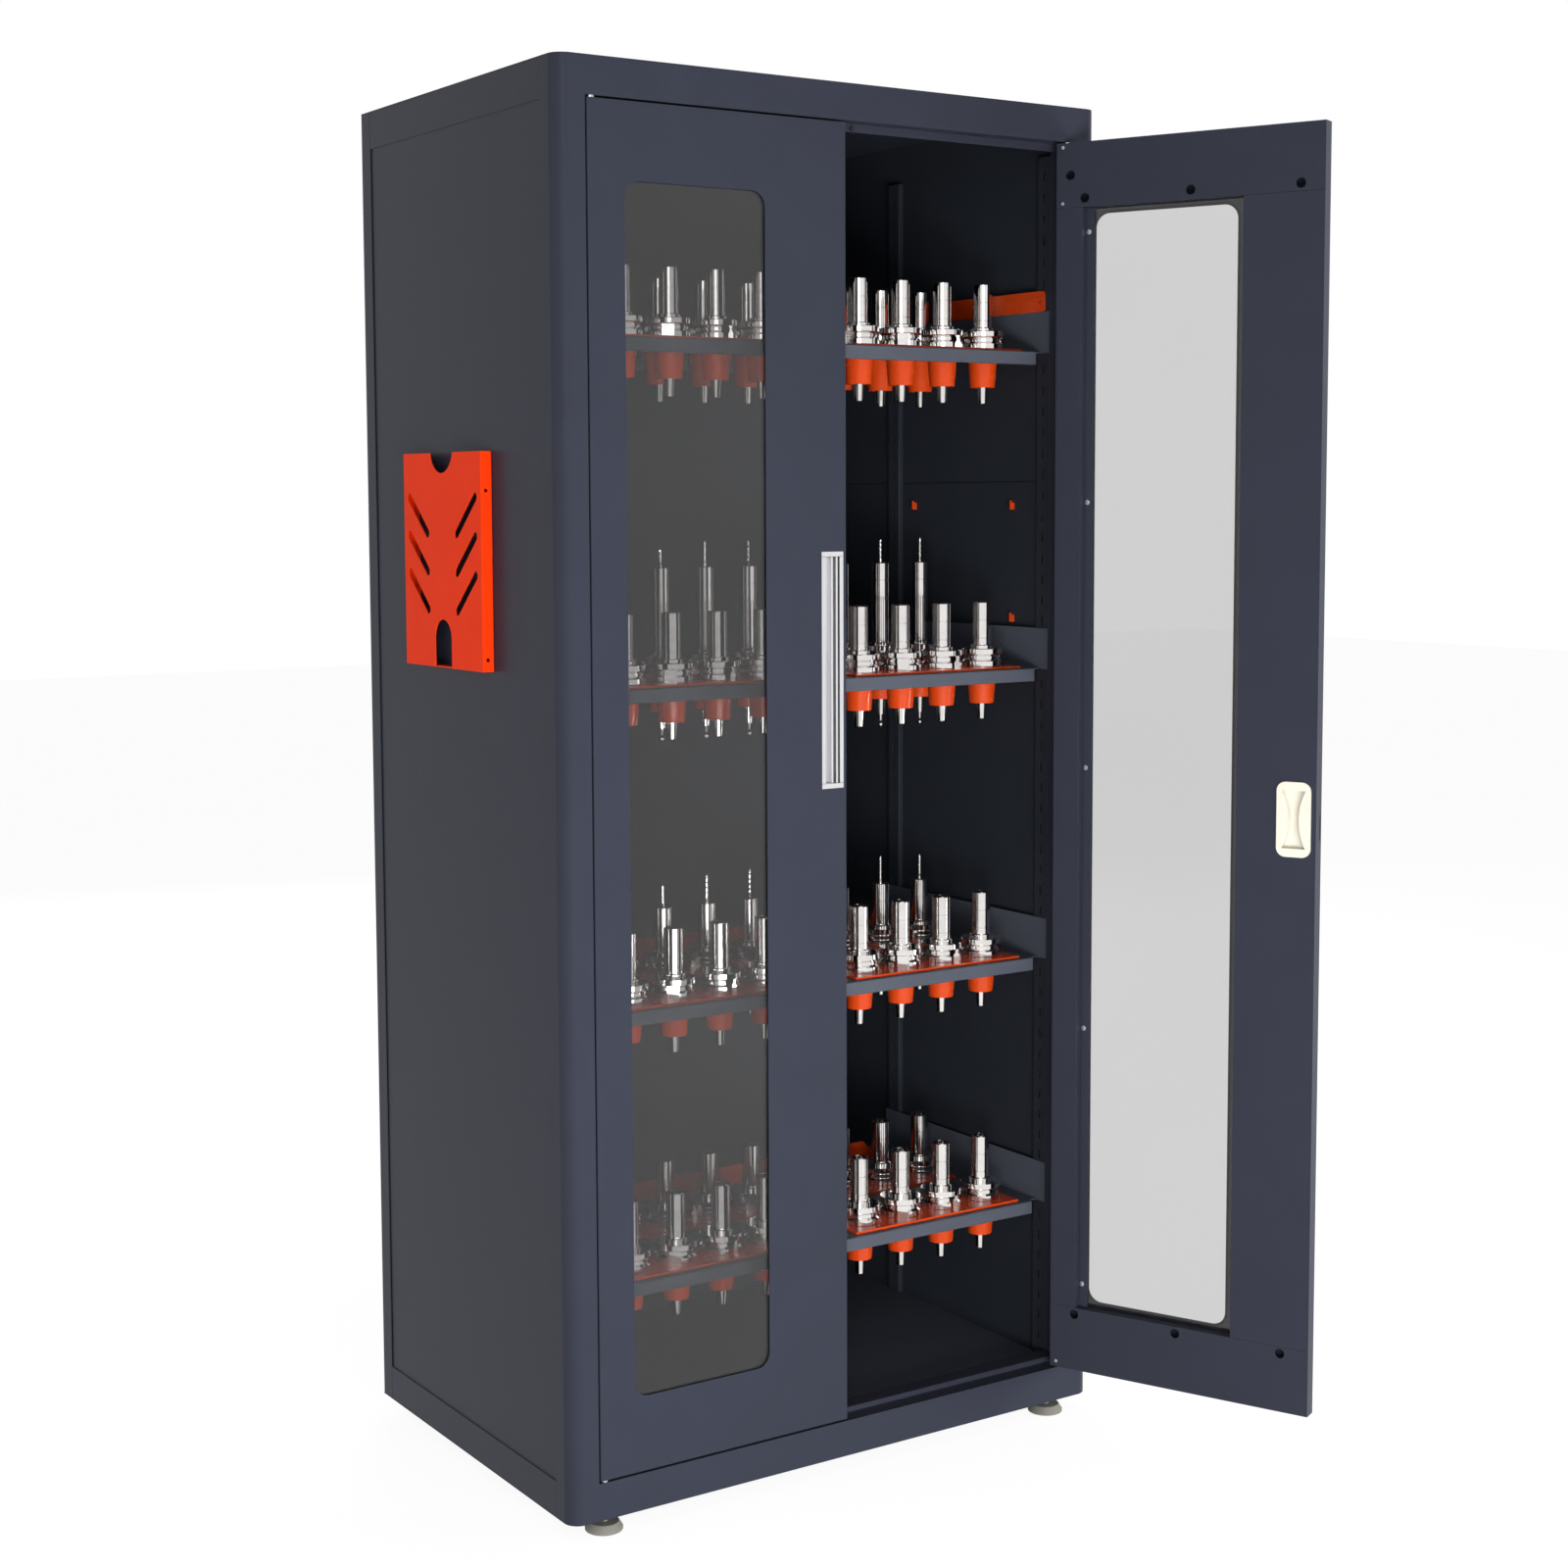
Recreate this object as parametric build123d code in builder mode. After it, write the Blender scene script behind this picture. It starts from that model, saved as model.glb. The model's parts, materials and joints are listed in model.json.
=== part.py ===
from build123d import *
import os
from math import cos, radians, sin, sqrt

# A free-standing tool storage cabinet with two glazed doors, on four levelling feet.
# Origin: on the floor, under the middle of the carcass. +X to the right, +Z up, the doors face -Y.
# The left door stands closed and the right door stands open.

# Carcass
cabinet_width = 830
cabinet_depth = 550
cabinet_height = 1800
foot_height = 22
corner_radius = 20
sheet = 1.5
bend_radius = 2
seat_gap = 0.3

# Face frame
stile_width = 39
top_rail_height = 46.5
bottom_rail_height = 47.5
side_return = 40
jamb_depth = 53
jamb_return = 24
stop_setback = 24.5
top_stop_drop = 10
sill_step = 6.5

# Side, back and inner panels
rear_post_return = 28
rear_post_lap = 40
panel_recess = 1.8
panel_field_bottom = 69
panel_field_top = 1750
wall_setback = 9
wall_joint_height = 1302
wall_joint_gap = 0.8
floor_drop = 7.5
floor_front_gap = 4
hook_slot_width = 4

# Slotted uprights
upright_width = 28
rear_upright_y = 139
slot_origin = 87
slot_pitch = 29
slot_width = 4
slot_height = 12
upright_top_gap = 10

# Trays
tray_slots = (48, 33, 19, 7)
tray_names = ("top", "upper", "lower", "bottom")
tray_front = -213
tray_back = 155
tray_half = 376
tray_lip = 18
tray_lip_return = 8
tray_lip_half = 361
tray_side_height = 55
tray_tab_width = 3
tray_tab_height = 8
tray_tab_reach = 6

# Sockets
socket_pitch = 70
module_gap = 15
first_socket_x = 15
left_sockets = 5
right_sockets = 4
front_row_y = -160
back_row_y = -17
strip_width = 85
strip_thickness = 3
cup_depth = 48.5
cup_top_radius = 21
cup_bottom_radius = 17
cup_hole_gap = 0.5

# Tool holders
gauge_radius = 17.9
taper_length = 50
taper_slope = 7 / 48
taper_gap = 0.4
stud_radius = 7.2
stud_end_radius = 6
stud_length = 24
knob_stem_radius = 3
knob_stem_length = 14
knob_radius = 5
flange_radius = 28.5
flange_height = 25
flange_ring = 8
groove_radius = 25.5
groove_chamfer = 2.5
notch_width = 16
notch_radius = 22
collar_radius = 15.5
collar_height = 5
nose_radius = 12.5
ring_groove = 0.6
ring_groove_width = 1.5
ring_spacing = 25
nose_bore_radius = 8.5
nose_bore_depth = 10
nose_top = 92
tall_nose_top = 145
drill_radius = 2.5
drill_gap = 0.2
drill_tip = 3
upper_drills = (37, 35, 25, 35, 35, 0, 42, 35, 35)
lower_drills = (46, 29, 32, 40, 40, 44, 70, 40, 35)

# Orange guard bars and wall hooks
bar_height = 28
bar_thickness = 3
bar_foot = 12
back_bar_half = 305
back_bar_y = 97
back_bar_chamfer = 14
side_bar_back = 30
side_bar_hole = 5
side_bar_hole_inset = 10
hook_reach = 7
hook_height = 10
hook_places = ((-137, 34), (92, 34), (-137, 192))

# Doors
door_thickness = 21
door_gap = 2.5
meeting_gap = 3
door_open_angle = 114.5
door_edge_radius = 1.2
pivot_inset = 7.5
pivot_depth = 5.5
pin_radius = 2.5
pin_head_height = 3
pin_head_radius = 3.9
pin_engagement = 12
running_gap = 0.05
bush_radius = 3.9
bush_flange_radius = 5.2
bush_flange = 1
washer_radius = 5
washer_gap = 0.1
window_inset = 50
window_width = 200
window_margin = 96
window_radius = 19
hinge_stile_width = 37.5
lock_stile_width = 108.5
inner_rail_top = 86
inner_rail_bottom = 88
glass_thickness = 4
glass_edge = 1.5
glass_hinge_edge = 46
gasket_thickness = 0.8
gasket_lap = 3.5
clamp_thickness = 1.5
screw_inset = 42
screw_count = 5
screw_end_gap = 32
screw_radius = 1.6
screw_head_radius = 3.6
screw_head_height = 1.4
service_hole_radius = 6.5
top_holes = ((20, 43), (41, 74), (191, 74), (340, 76))
bottom_holes = ((36, 79), (185, 79), (333, 79))
rivet_inset = 9
rivet_radius = 2.4
rivet_height = 0.8
rivet_low = 8
rivet_tops = (6, 80)

# Handle profile
handle_width = 33.5
handle_height = 303
handle_edge = 5
handle_above_lock = 46.5
handle_depth = 14
handle_proud = 1
handle_wall = 1.5
handle_flange = 4
handle_rib = 3
handle_rib_places = (17, 23)
handle_rib_lengths = (11, 13)
handle_cap = 2

# Lock of the right door
lock_height = 862.5
cover_width = 46
cover_height = 98
cover_radius = 12
cover_edge = 6.5
cover_proud = 2.5
cover_wall = 2
scoop_width = 32
scoop_height = 76
scoop_depth = 8
scoop_waist = 9
barrel_radius = 8
barrel_bezel_radius = 11
barrel_bezel = 2
barrel_depth = 5
plug_radius = 5.5
plug_proud = 1
cam_thickness = 1.5
cam_width = 10
cam_reach = 38
key_slot_width = 2.4
key_slot_height = 8
key_slot_depth = 2
cam_slot_gap = 1

# Bumpers, feet and document pocket
bumper_radius = 3.2
bumper_inset = 25
foot_x = 356
foot_y = 250
foot_pad_radius = 24
foot_pad_top_radius = 19
foot_pad_height = 11
foot_pad_rim = 3
stud_rod_radius = 5
foot_stud_top = 56
insert_radius = 9
insert_height = 25
foot_hole_gap = 1
pocket_width = 225
pocket_height = 275
pocket_depth = 14
pocket_front = -96
pocket_bottom = 1065
pocket_notch_width = 69
pocket_notch_depth = 26
pocket_slot_width = 49
pocket_slot_height = 62
pocket_flange = 14
chevron_run = 52
chevron_drop = 46
chevron_width = 12
chevron_pitch = 49
chevron_top = 57
chevron_side = 18
pocket_hole_radius = 2.5
pocket_hole_inset = 7
pocket_screw_radius = 2
pocket_screw_head_radius = 4
pocket_screw_head = 2
pocket_screw_inset = 30

# Levels and planes that follow from the sizes above
half_width = cabinet_width / 2
front = -cabinet_depth / 2
back = cabinet_depth / 2
base_top = foot_height + sheet
roof_bottom = cabinet_height - sheet
opening_half = half_width - stile_width
opening_bottom = foot_height + bottom_rail_height
opening_top = cabinet_height - top_rail_height
stop_face = front + stop_setback
jamb_back = front + jamb_depth
side_seam = front + side_return
rear_seam = back - rear_post_return
back_panel_face = back - 2 * sheet
wall_face = opening_half + wall_setback
floor_top = opening_bottom - floor_drop
sill_top = opening_bottom + sill_step
tray_levels = tuple(slot_origin + slot_pitch * slot for slot in tray_slots)
web_face = tray_half + sheet + seat_gap
front_upright_y = jamb_back + seat_gap + upright_width / 2
door_width = opening_half - door_gap - meeting_gap / 2
door_bottom = opening_bottom + door_gap
door_top = opening_top - door_gap
hinge_edge = opening_half - door_gap
pivot_x = hinge_edge - pivot_inset
pivot_y = front + pivot_depth
inner_face = door_thickness - sheet
glass_front = sheet + gasket_thickness
glass_back = glass_front + glass_thickness
window_bottom = door_bottom + window_margin
window_top = door_top - window_margin + 2
rail_line = door_top - inner_rail_top
bottom_rail_line = door_bottom + inner_rail_bottom
screw_low = bottom_rail_line + screw_end_gap
screw_step = (rail_line - screw_end_gap - screw_low) / (screw_count - 1)
screw_heights = [screw_low + screw_step * n for n in range(screw_count)]
rivet_heights = [door_bottom + rivet_low] + [door_top - drop for drop in rivet_tops]
lock_stile_line = door_width - lock_stile_width
handle_bottom = lock_height + handle_above_lock
handle_outer = door_width - handle_edge
handle_inner = handle_outer - handle_width
trough_inner = handle_inner + handle_flange + seat_gap
trough_outer = handle_outer - handle_flange - seat_gap
cover_inner = door_width - cover_edge - cover_width
lock_x = cover_inner + cover_width / 2
seat_level = strip_thickness
columns = [first_socket_x - socket_pitch * n for n in reversed(range(left_sockets))]
columns += [first_socket_x + module_gap + socket_pitch * (n + 1) for n in range(right_sockets)]
LEFT = -1
RIGHT = 1
SIDES = ((LEFT, "left"), (RIGHT, "right"))
rest_turn = {LEFT: 0, RIGHT: door_open_angle}

os.makedirs("parts", exist_ok=True)


def save(part, name):
    """Labels one finished piece and writes its STEP file."""
    part.label = name
    export_step(part, f"parts/{name}.step")


def folded_part(plane, points, length, radius=bend_radius):
    """One folded sheet: its outer line runs through the points, with the metal on its left."""
    with BuildPart() as piece:
        with BuildSketch(plane):
            with BuildLine():
                FilletPolyline(*points, radius=radius)
                offset(amount=sheet, side=Side.LEFT)
            make_face()
        extrude(amount=length)
    return piece.part


def plan_plate(height, hole_radius=0):
    """A plate with the cabinet's outline and rounded front corners, with or without holes for the feet."""
    with BuildPart() as plate:
        with BuildSketch(Plane.XY.offset(height)) as plan:
            Rectangle(cabinet_width, cabinet_depth)
            fillet(plan.vertices().group_by(Axis.Y)[0], corner_radius)
            if hole_radius:
                with GridLocations(2 * foot_x, 2 * foot_y, 2, 2):
                    Circle(hole_radius, mode=Mode.SUBTRACT)
        extrude(amount=sheet)
    return plate.part


# Base and roof
save(plan_plate(foot_height, stud_rod_radius + foot_hole_gap), "base_plate")
save(plan_plate(roof_bottom), "roof_panel")

# Welded face frame: front sheet, rounded corners, jambs, top stop and sill
frame_height = roof_bottom - base_top
corner_start = half_width - corner_radius
corner_line = ((-half_width, side_seam), (-half_width, front), (-corner_start + sheet, front))
jamb_line = ((-opening_half, front), (-opening_half, jamb_back), (-opening_half - jamb_return, jamb_back))
stop_line = ((front, opening_top), (stop_face, opening_top), (stop_face, opening_top - top_stop_drop))
sill_line = ((jamb_back, base_top), (jamb_back, sill_top), (stop_face, sill_top), (stop_face, opening_bottom),
             (front, opening_bottom))
rail_plane = Plane.YZ.offset(-opening_half - sheet)
rail_length = 2 * (opening_half + sheet)
with BuildPart() as front_frame:
    with BuildSketch(Plane.XZ.offset(-front)):
        with Locations((0, base_top + frame_height / 2)):
            Rectangle(2 * corner_start, frame_height)
        with Locations((0, (opening_bottom + opening_top) / 2)):
            Rectangle(2 * opening_half, opening_top - opening_bottom, mode=Mode.SUBTRACT)
    extrude(amount=-sheet)
    add(folded_part(Plane.XY.offset(base_top), corner_line, frame_height, corner_radius))
    add(folded_part(Plane.XY.offset(base_top), jamb_line, frame_height))
    mirror(about=Plane.YZ)
    add(folded_part(rail_plane, stop_line, rail_length))
    add(folded_part(rail_plane, sill_line, rail_length))
    with Locations((pivot_x, pivot_y, 0), (-pivot_x, pivot_y, 0)):
        Cylinder(pin_radius + running_gap, cabinet_height, align=(Align.CENTER, Align.CENTER, Align.MIN),
                 mode=Mode.SUBTRACT)
save(front_frame.part, "front_frame")

# Rear corner posts
for side, name in SIDES:
    post_line = ((-half_width + rear_post_lap, back), (-half_width, back), (-half_width, rear_seam))
    with BuildPart() as rear_post:
        add(folded_part(Plane.XY.offset(base_top), post_line, frame_height))
        if side == RIGHT:
            mirror(about=Plane.YZ, mode=Mode.REPLACE)
    save(rear_post.part, f"rear_post_{name}")

# Side panels, each pressed inwards over a tall field
web_bottom = panel_field_bottom - sheet
web_top = panel_field_top + sheet
recess_inner = panel_recess + sheet
for side, name in SIDES:
    outline = [(0, base_top), (0, panel_field_bottom), (panel_recess, panel_field_bottom),
               (panel_recess, panel_field_top), (0, panel_field_top), (0, roof_bottom), (sheet, roof_bottom),
               (sheet, web_top), (recess_inner, web_top), (recess_inner, web_bottom), (sheet, web_bottom),
               (sheet, base_top)]
    with BuildPart() as side_panel:
        with BuildSketch(Plane.XZ.offset(-rear_seam)):
            with BuildLine():
                Polyline(*[(side * (half_width - x), z) for x, z in outline], close=True)
            make_face()
        extrude(amount=rear_seam - side_seam)
    save(side_panel.part, f"side_panel_{name}")

# Back panel, lapped behind both rear posts
with BuildPart() as back_panel:
    with BuildSketch(Plane.XY.offset(base_top)):
        with Locations((0, back_panel_face + sheet / 2)):
            Rectangle(2 * (half_width - sheet - bend_radius), sheet)
    extrude(amount=frame_height)
save(back_panel.part, "back_panel")

# Inner side walls, each in two sheets with a small gap at their horizontal joint
wall_sheets = ((base_top, wall_joint_height - wall_joint_gap / 2),
               (wall_joint_height + wall_joint_gap / 2, roof_bottom))
for side, name in SIDES:
    with BuildPart() as inner_wall:
        for low, high in wall_sheets:
            with BuildSketch(Plane.YZ.offset(side * wall_face)):
                with Locations(((jamb_back + back_panel_face) / 2, (low + high) / 2)):
                    Rectangle(back_panel_face - jamb_back, high - low)
            extrude(amount=side * sheet)
        if side == RIGHT:
            with BuildSketch(Plane.YZ.offset(wall_face)):
                with Locations(*[(y, wall_joint_height - drop) for y, drop in hook_places]):
                    Rectangle(hook_slot_width, hook_height)
            extrude(amount=sheet, mode=Mode.SUBTRACT)
    save(inner_wall.part, f"inner_wall_{name}")

# Floor pan: a plate on four turned-down sides that stand on the base
pan_front = jamb_back + floor_front_gap
with BuildPart() as floor_pan:
    with BuildSketch(Plane.XY.offset(base_top)):
        with Locations((0, (pan_front + back_panel_face) / 2)):
            Rectangle(2 * wall_face, back_panel_face - pan_front)
    extrude(amount=floor_top - base_top)
    offset(amount=-sheet, openings=floor_pan.faces().sort_by(Axis.Z)[0])
save(floor_pan.part, "floor_pan")

# Slotted uprights, a front and a rear one on each inner wall
slot_count = int((opening_top - upright_top_gap - slot_height - slot_origin) // slot_pitch) + 1
upright_height = opening_top - upright_top_gap - floor_top
slot_middle = slot_origin + slot_pitch * (slot_count - 1) / 2 + slot_height / 2
for side, name in SIDES:
    with BuildPart() as uprights:
        for y in (front_upright_y, rear_upright_y):
            near = y - upright_width / 2
            far = y + upright_width / 2
            line = ((wall_face, far), (web_face, far), (web_face, near), (wall_face, near))
            add(folded_part(Plane.XY.offset(floor_top), line, upright_height))
        with BuildSketch(Plane.YZ.offset(web_face)):
            with Locations((front_upright_y, slot_middle), (rear_upright_y, slot_middle)):
                with GridLocations(slot_pitch, slot_pitch, 1, slot_count):
                    Rectangle(slot_width, slot_height)
        extrude(amount=sheet, mode=Mode.SUBTRACT)
        if side == LEFT:
            mirror(about=Plane.YZ, mode=Mode.REPLACE)
    save(uprights.part, f"uprights_{name}")

# Trays: a deck with turned-down lips, side plates and tabs that hook into the uprights
deck_line = ((tray_back, -tray_lip), (tray_back, 0), (tray_front, 0), (tray_front, -tray_lip),
             (tray_front + tray_lip_return, -tray_lip))
side_front = jamb_back + seat_gap
deck_side_front = tray_front + tray_lip_return
with BuildPart() as tray_form:
    add(folded_part(Plane.YZ.offset(-tray_lip_half), deck_line, 2 * tray_lip_half))
    with BuildSketch(Plane.XY.offset(-sheet)):
        with Locations((0, (deck_side_front + tray_back) / 2)):
            Rectangle(2 * tray_half, tray_back - deck_side_front)
            Rectangle(2 * (tray_lip_half - sheet), tray_back - deck_side_front, mode=Mode.SUBTRACT)
    extrude(amount=sheet)
    with BuildSketch(Plane.XY.offset(-sheet)):
        with Locations((tray_half + sheet / 2, (side_front + tray_back) / 2),
                       (-tray_half - sheet / 2, (side_front + tray_back) / 2)):
            Rectangle(sheet, tray_back - side_front)
    extrude(amount=tray_side_height + sheet)
    with BuildSketch(Plane.XY.offset(slot_pitch)):
        for y in (front_upright_y, rear_upright_y):
            with Locations((tray_half + sheet / 2 + tray_tab_reach / 2, y),
                           (-tray_half - sheet / 2 - tray_tab_reach / 2, y)):
                Rectangle(tray_tab_reach, tray_tab_width)
    extrude(amount=tray_tab_height)
    with BuildSketch(Plane.XY.offset(-sheet)):
        with Locations(*[(x, y) for y in (front_row_y, back_row_y) for x in columns]):
            Circle(cup_top_radius + cup_hole_gap)
    extrude(amount=sheet, mode=Mode.SUBTRACT)
for name, level in zip(tray_names, tray_levels):
    with BuildPart() as tray:
        with Locations((0, 0, level)):
            add(tray_form.part)
    save(tray.part, f"tray_{name}")

# Socket strips: two moulded modules in each row, every socket a tapered cup
bore_bottom = gauge_radius + taper_gap - (cup_depth + strip_thickness) * taper_slope
modules = (columns[:left_sockets], columns[left_sockets:])
with BuildPart() as strip_form:
    for y in (front_row_y, back_row_y):
        for module in modules:
            with BuildSketch():
                with Locations(((module[0] + module[-1]) / 2, y)):
                    Rectangle(socket_pitch * len(module), strip_width)
            extrude(amount=strip_thickness)
            with Locations(*[(x, y, 0) for x in module]):
                Cone(cup_bottom_radius, cup_top_radius, cup_depth,
                     align=(Align.CENTER, Align.CENTER, Align.MAX))
            with Locations(*[(x, y, -cup_depth) for x in module]):
                Cone(bore_bottom, gauge_radius + taper_gap, cup_depth + strip_thickness,
                     align=(Align.CENTER, Align.CENTER, Align.MIN), mode=Mode.SUBTRACT)
for name, level in zip(tray_names, tray_levels):
    with BuildPart() as socket_strips:
        with Locations((0, 0, level)):
            add(strip_form.part)
    save(socket_strips.part, f"socket_strips_{name}")


def holder_form(top, bore_radius, knob):
    """A chrome tool holder: taper and stud below its flange, nose above, seated at z = 0."""
    stud_end = -taper_length - stud_length
    groove_low = flange_ring + groove_chamfer
    groove_high = flange_height - flange_ring - groove_chamfer
    neck = flange_height + collar_height
    below = [(stud_end_radius, stud_end), (stud_radius, -taper_length)]
    if knob:
        below = [(knob_stem_radius, stud_end - knob_stem_length), (knob_stem_radius, stud_end)] + below
    profile = below + [
        (gauge_radius - taper_length * taper_slope, -taper_length), (gauge_radius, 0), (flange_radius, 0),
        (flange_radius, flange_ring), (groove_radius, groove_low), (groove_radius, groove_high),
        (flange_radius, flange_height - flange_ring), (flange_radius, flange_height),
        (collar_radius, flange_height), (collar_radius, neck - 1), (collar_radius - 1, neck), (nose_radius, neck)]
    for ring in (2, 1):
        middle = top - ring * ring_spacing
        low = middle - ring_groove_width / 2
        high = middle + ring_groove_width / 2
        profile += [(nose_radius, low), (nose_radius - ring_groove, low), (nose_radius - ring_groove, high),
                    (nose_radius, high)]
    profile += [(nose_radius, top - 1), (nose_radius - 1, top), (bore_radius, top),
                (bore_radius, top - nose_bore_depth), (0, top - nose_bore_depth), (0, profile[0][1])]
    with BuildPart() as holder:
        with BuildSketch(Plane.XZ):
            with BuildLine():
                Polyline(*profile, close=True)
            make_face()
        revolve(axis=Axis.Z)
        if knob:
            with Locations((0, 0, stud_end - knob_stem_length)):
                Sphere(knob_radius)
        with Locations((notch_radius + notch_width / 2, 0, 0), (-notch_radius - notch_width / 2, 0, 0)):
            Box(notch_width, notch_width, flange_height - flange_ring,
                align=(Align.CENTER, Align.CENTER, Align.MIN), mode=Mode.SUBTRACT)
    return holder.part


def drill_form(length):
    """A plain drill that stands in a holder's bore, with its point up and its foot at z = 0."""
    with BuildPart() as drill:
        Cylinder(drill_radius, nose_bore_depth + length - drill_tip,
                 align=(Align.CENTER, Align.CENTER, Align.MIN))
        with Locations((0, 0, nose_bore_depth + length - drill_tip)):
            Cone(drill_radius, drill_radius / 4, drill_tip, align=(Align.CENTER, Align.CENTER, Align.MIN))
    return drill.part


# Tool holders: the front rows are alike, the back rows of the two middle trays carry drills
plain_holder = holder_form(nose_top - seat_level, nose_bore_radius, False)
drill_holder = holder_form(nose_top - seat_level, drill_radius + drill_gap, False)
tall_holder = holder_form(tall_nose_top - seat_level, drill_radius + drill_gap, True)
back_rows = {"top": (plain_holder, nose_top, ()), "upper": (tall_holder, tall_nose_top, upper_drills),
             "lower": (drill_holder, nose_top, lower_drills), "bottom": (plain_holder, nose_top, ())}
for name, level in zip(tray_names, tray_levels):
    back_holder, back_top, drills = back_rows[name]
    with BuildPart() as tool_holders:
        with Locations(*[(x, front_row_y, level + seat_level) for x in columns]):
            add(plain_holder)
        with Locations(*[(x, back_row_y, level + seat_level) for x in columns]):
            add(back_holder)
        for x, length in zip(columns, drills):
            if length:
                with Locations((x, back_row_y, level + back_top - nose_bore_depth + drill_gap)):
                    add(drill_form(length))
    save(tool_holders.part, f"tool_holders_{name}")

# Orange guard bars: along the back of the two lower trays, and along the right side of the top tray
with BuildPart() as back_bars:
    for level in tray_levels[2:]:
        with BuildSketch(Plane.XZ.offset(-back_bar_y - bar_thickness)) as face:
            with Locations((0, level + bar_height / 2)):
                Rectangle(2 * back_bar_half, bar_height)
            chamfer(face.vertices().group_by(Axis.Y)[-1][-2:], back_bar_chamfer)
        extrude(amount=bar_thickness)
        with BuildSketch(Plane.XY.offset(level)):
            with Locations((0, back_bar_y + bar_foot / 2)):
                Rectangle(2 * back_bar_half, bar_foot)
        extrude(amount=bar_thickness)
save(back_bars.part, "back_bars")

side_bar_bottom = tray_levels[0] + tray_side_height
side_bar_face = tray_half + sheet - bar_thickness
with BuildPart() as side_bar:
    with BuildSketch(Plane.YZ.offset(side_bar_face)) as face:
        with Locations(((tray_front + side_bar_back) / 2, side_bar_bottom + bar_height / 2)):
            Rectangle(side_bar_back - tray_front, bar_height)
        fillet(face.vertices().sort_by(Axis.X)[:2], side_bar_hole)
        with Locations((tray_front + side_bar_hole_inset, side_bar_bottom + bar_height / 2)):
            Circle(side_bar_hole / 2, mode=Mode.SUBTRACT)
    extrude(amount=bar_thickness)
save(side_bar.part, "side_bar")

# Orange hooks in slots of the right inner wall
with BuildPart() as wall_hooks:
    for y, drop in hook_places:
        z = wall_joint_height - drop
        with BuildSketch(Plane.XZ.offset(-y - bar_thickness / 2)):
            with Locations((wall_face + (sheet - hook_reach) / 2, z)):
                Rectangle(sheet + hook_reach, hook_height)
            with Locations((wall_face - hook_reach + bar_thickness / 2, z + bar_thickness / 2)):
                Rectangle(bar_thickness, hook_height + bar_thickness)
        extrude(amount=bar_thickness)
save(wall_hooks.part, "wall_hooks")


def door_point(side, across, depth):
    """Place in plan of a point of a door, across mm from its hinge edge and depth mm behind its face."""
    turn = radians(rest_turn[side])
    x = -side * (across - pivot_inset)
    y = depth - pivot_depth
    return Vector(side * pivot_x + x * cos(turn) - y * sin(turn), pivot_y + x * sin(turn) + y * cos(turn), 0)


def door_plane(side, depth):
    """Upright plane of a door, depth mm behind its face: x from the hinge edge, y up.

    An extrusion by side times its length goes inwards.
    """
    origin = door_point(side, 0, depth)
    along = door_point(side, 1, depth) - origin
    inwards = door_point(side, 0, depth + 1) - origin
    return Plane(origin=origin, x_dir=along, z_dir=inwards * side)


def door_plan(side, height):
    """Level plane of a door: x from the hinge edge, y behind its face, mirrored on the right door."""
    origin = door_point(side, 0, 0)
    origin.Z = height
    return Plane(origin=origin, x_dir=door_point(side, 1, 0) - door_point(side, 0, 0), z_dir=(0, 0, 1))


def span(low, high):
    """Middle and length of a stretch."""
    return (low + high) / 2, high - low


def door_sheet(side, depth, thickness, low, high, holes=()):
    """A flat piece of a door between two corners, with round holes."""
    middle_x, width = span(low[0], high[0])
    middle_z, height = span(low[1], high[1])
    with BuildPart() as piece:
        with BuildSketch(door_plane(side, depth)):
            with Locations((middle_x, middle_z)):
                Rectangle(width, height)
            if holes:
                with Locations(*holes):
                    Circle(service_hole_radius, mode=Mode.SUBTRACT)
        extrude(amount=side * thickness)
    return piece.part


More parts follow.
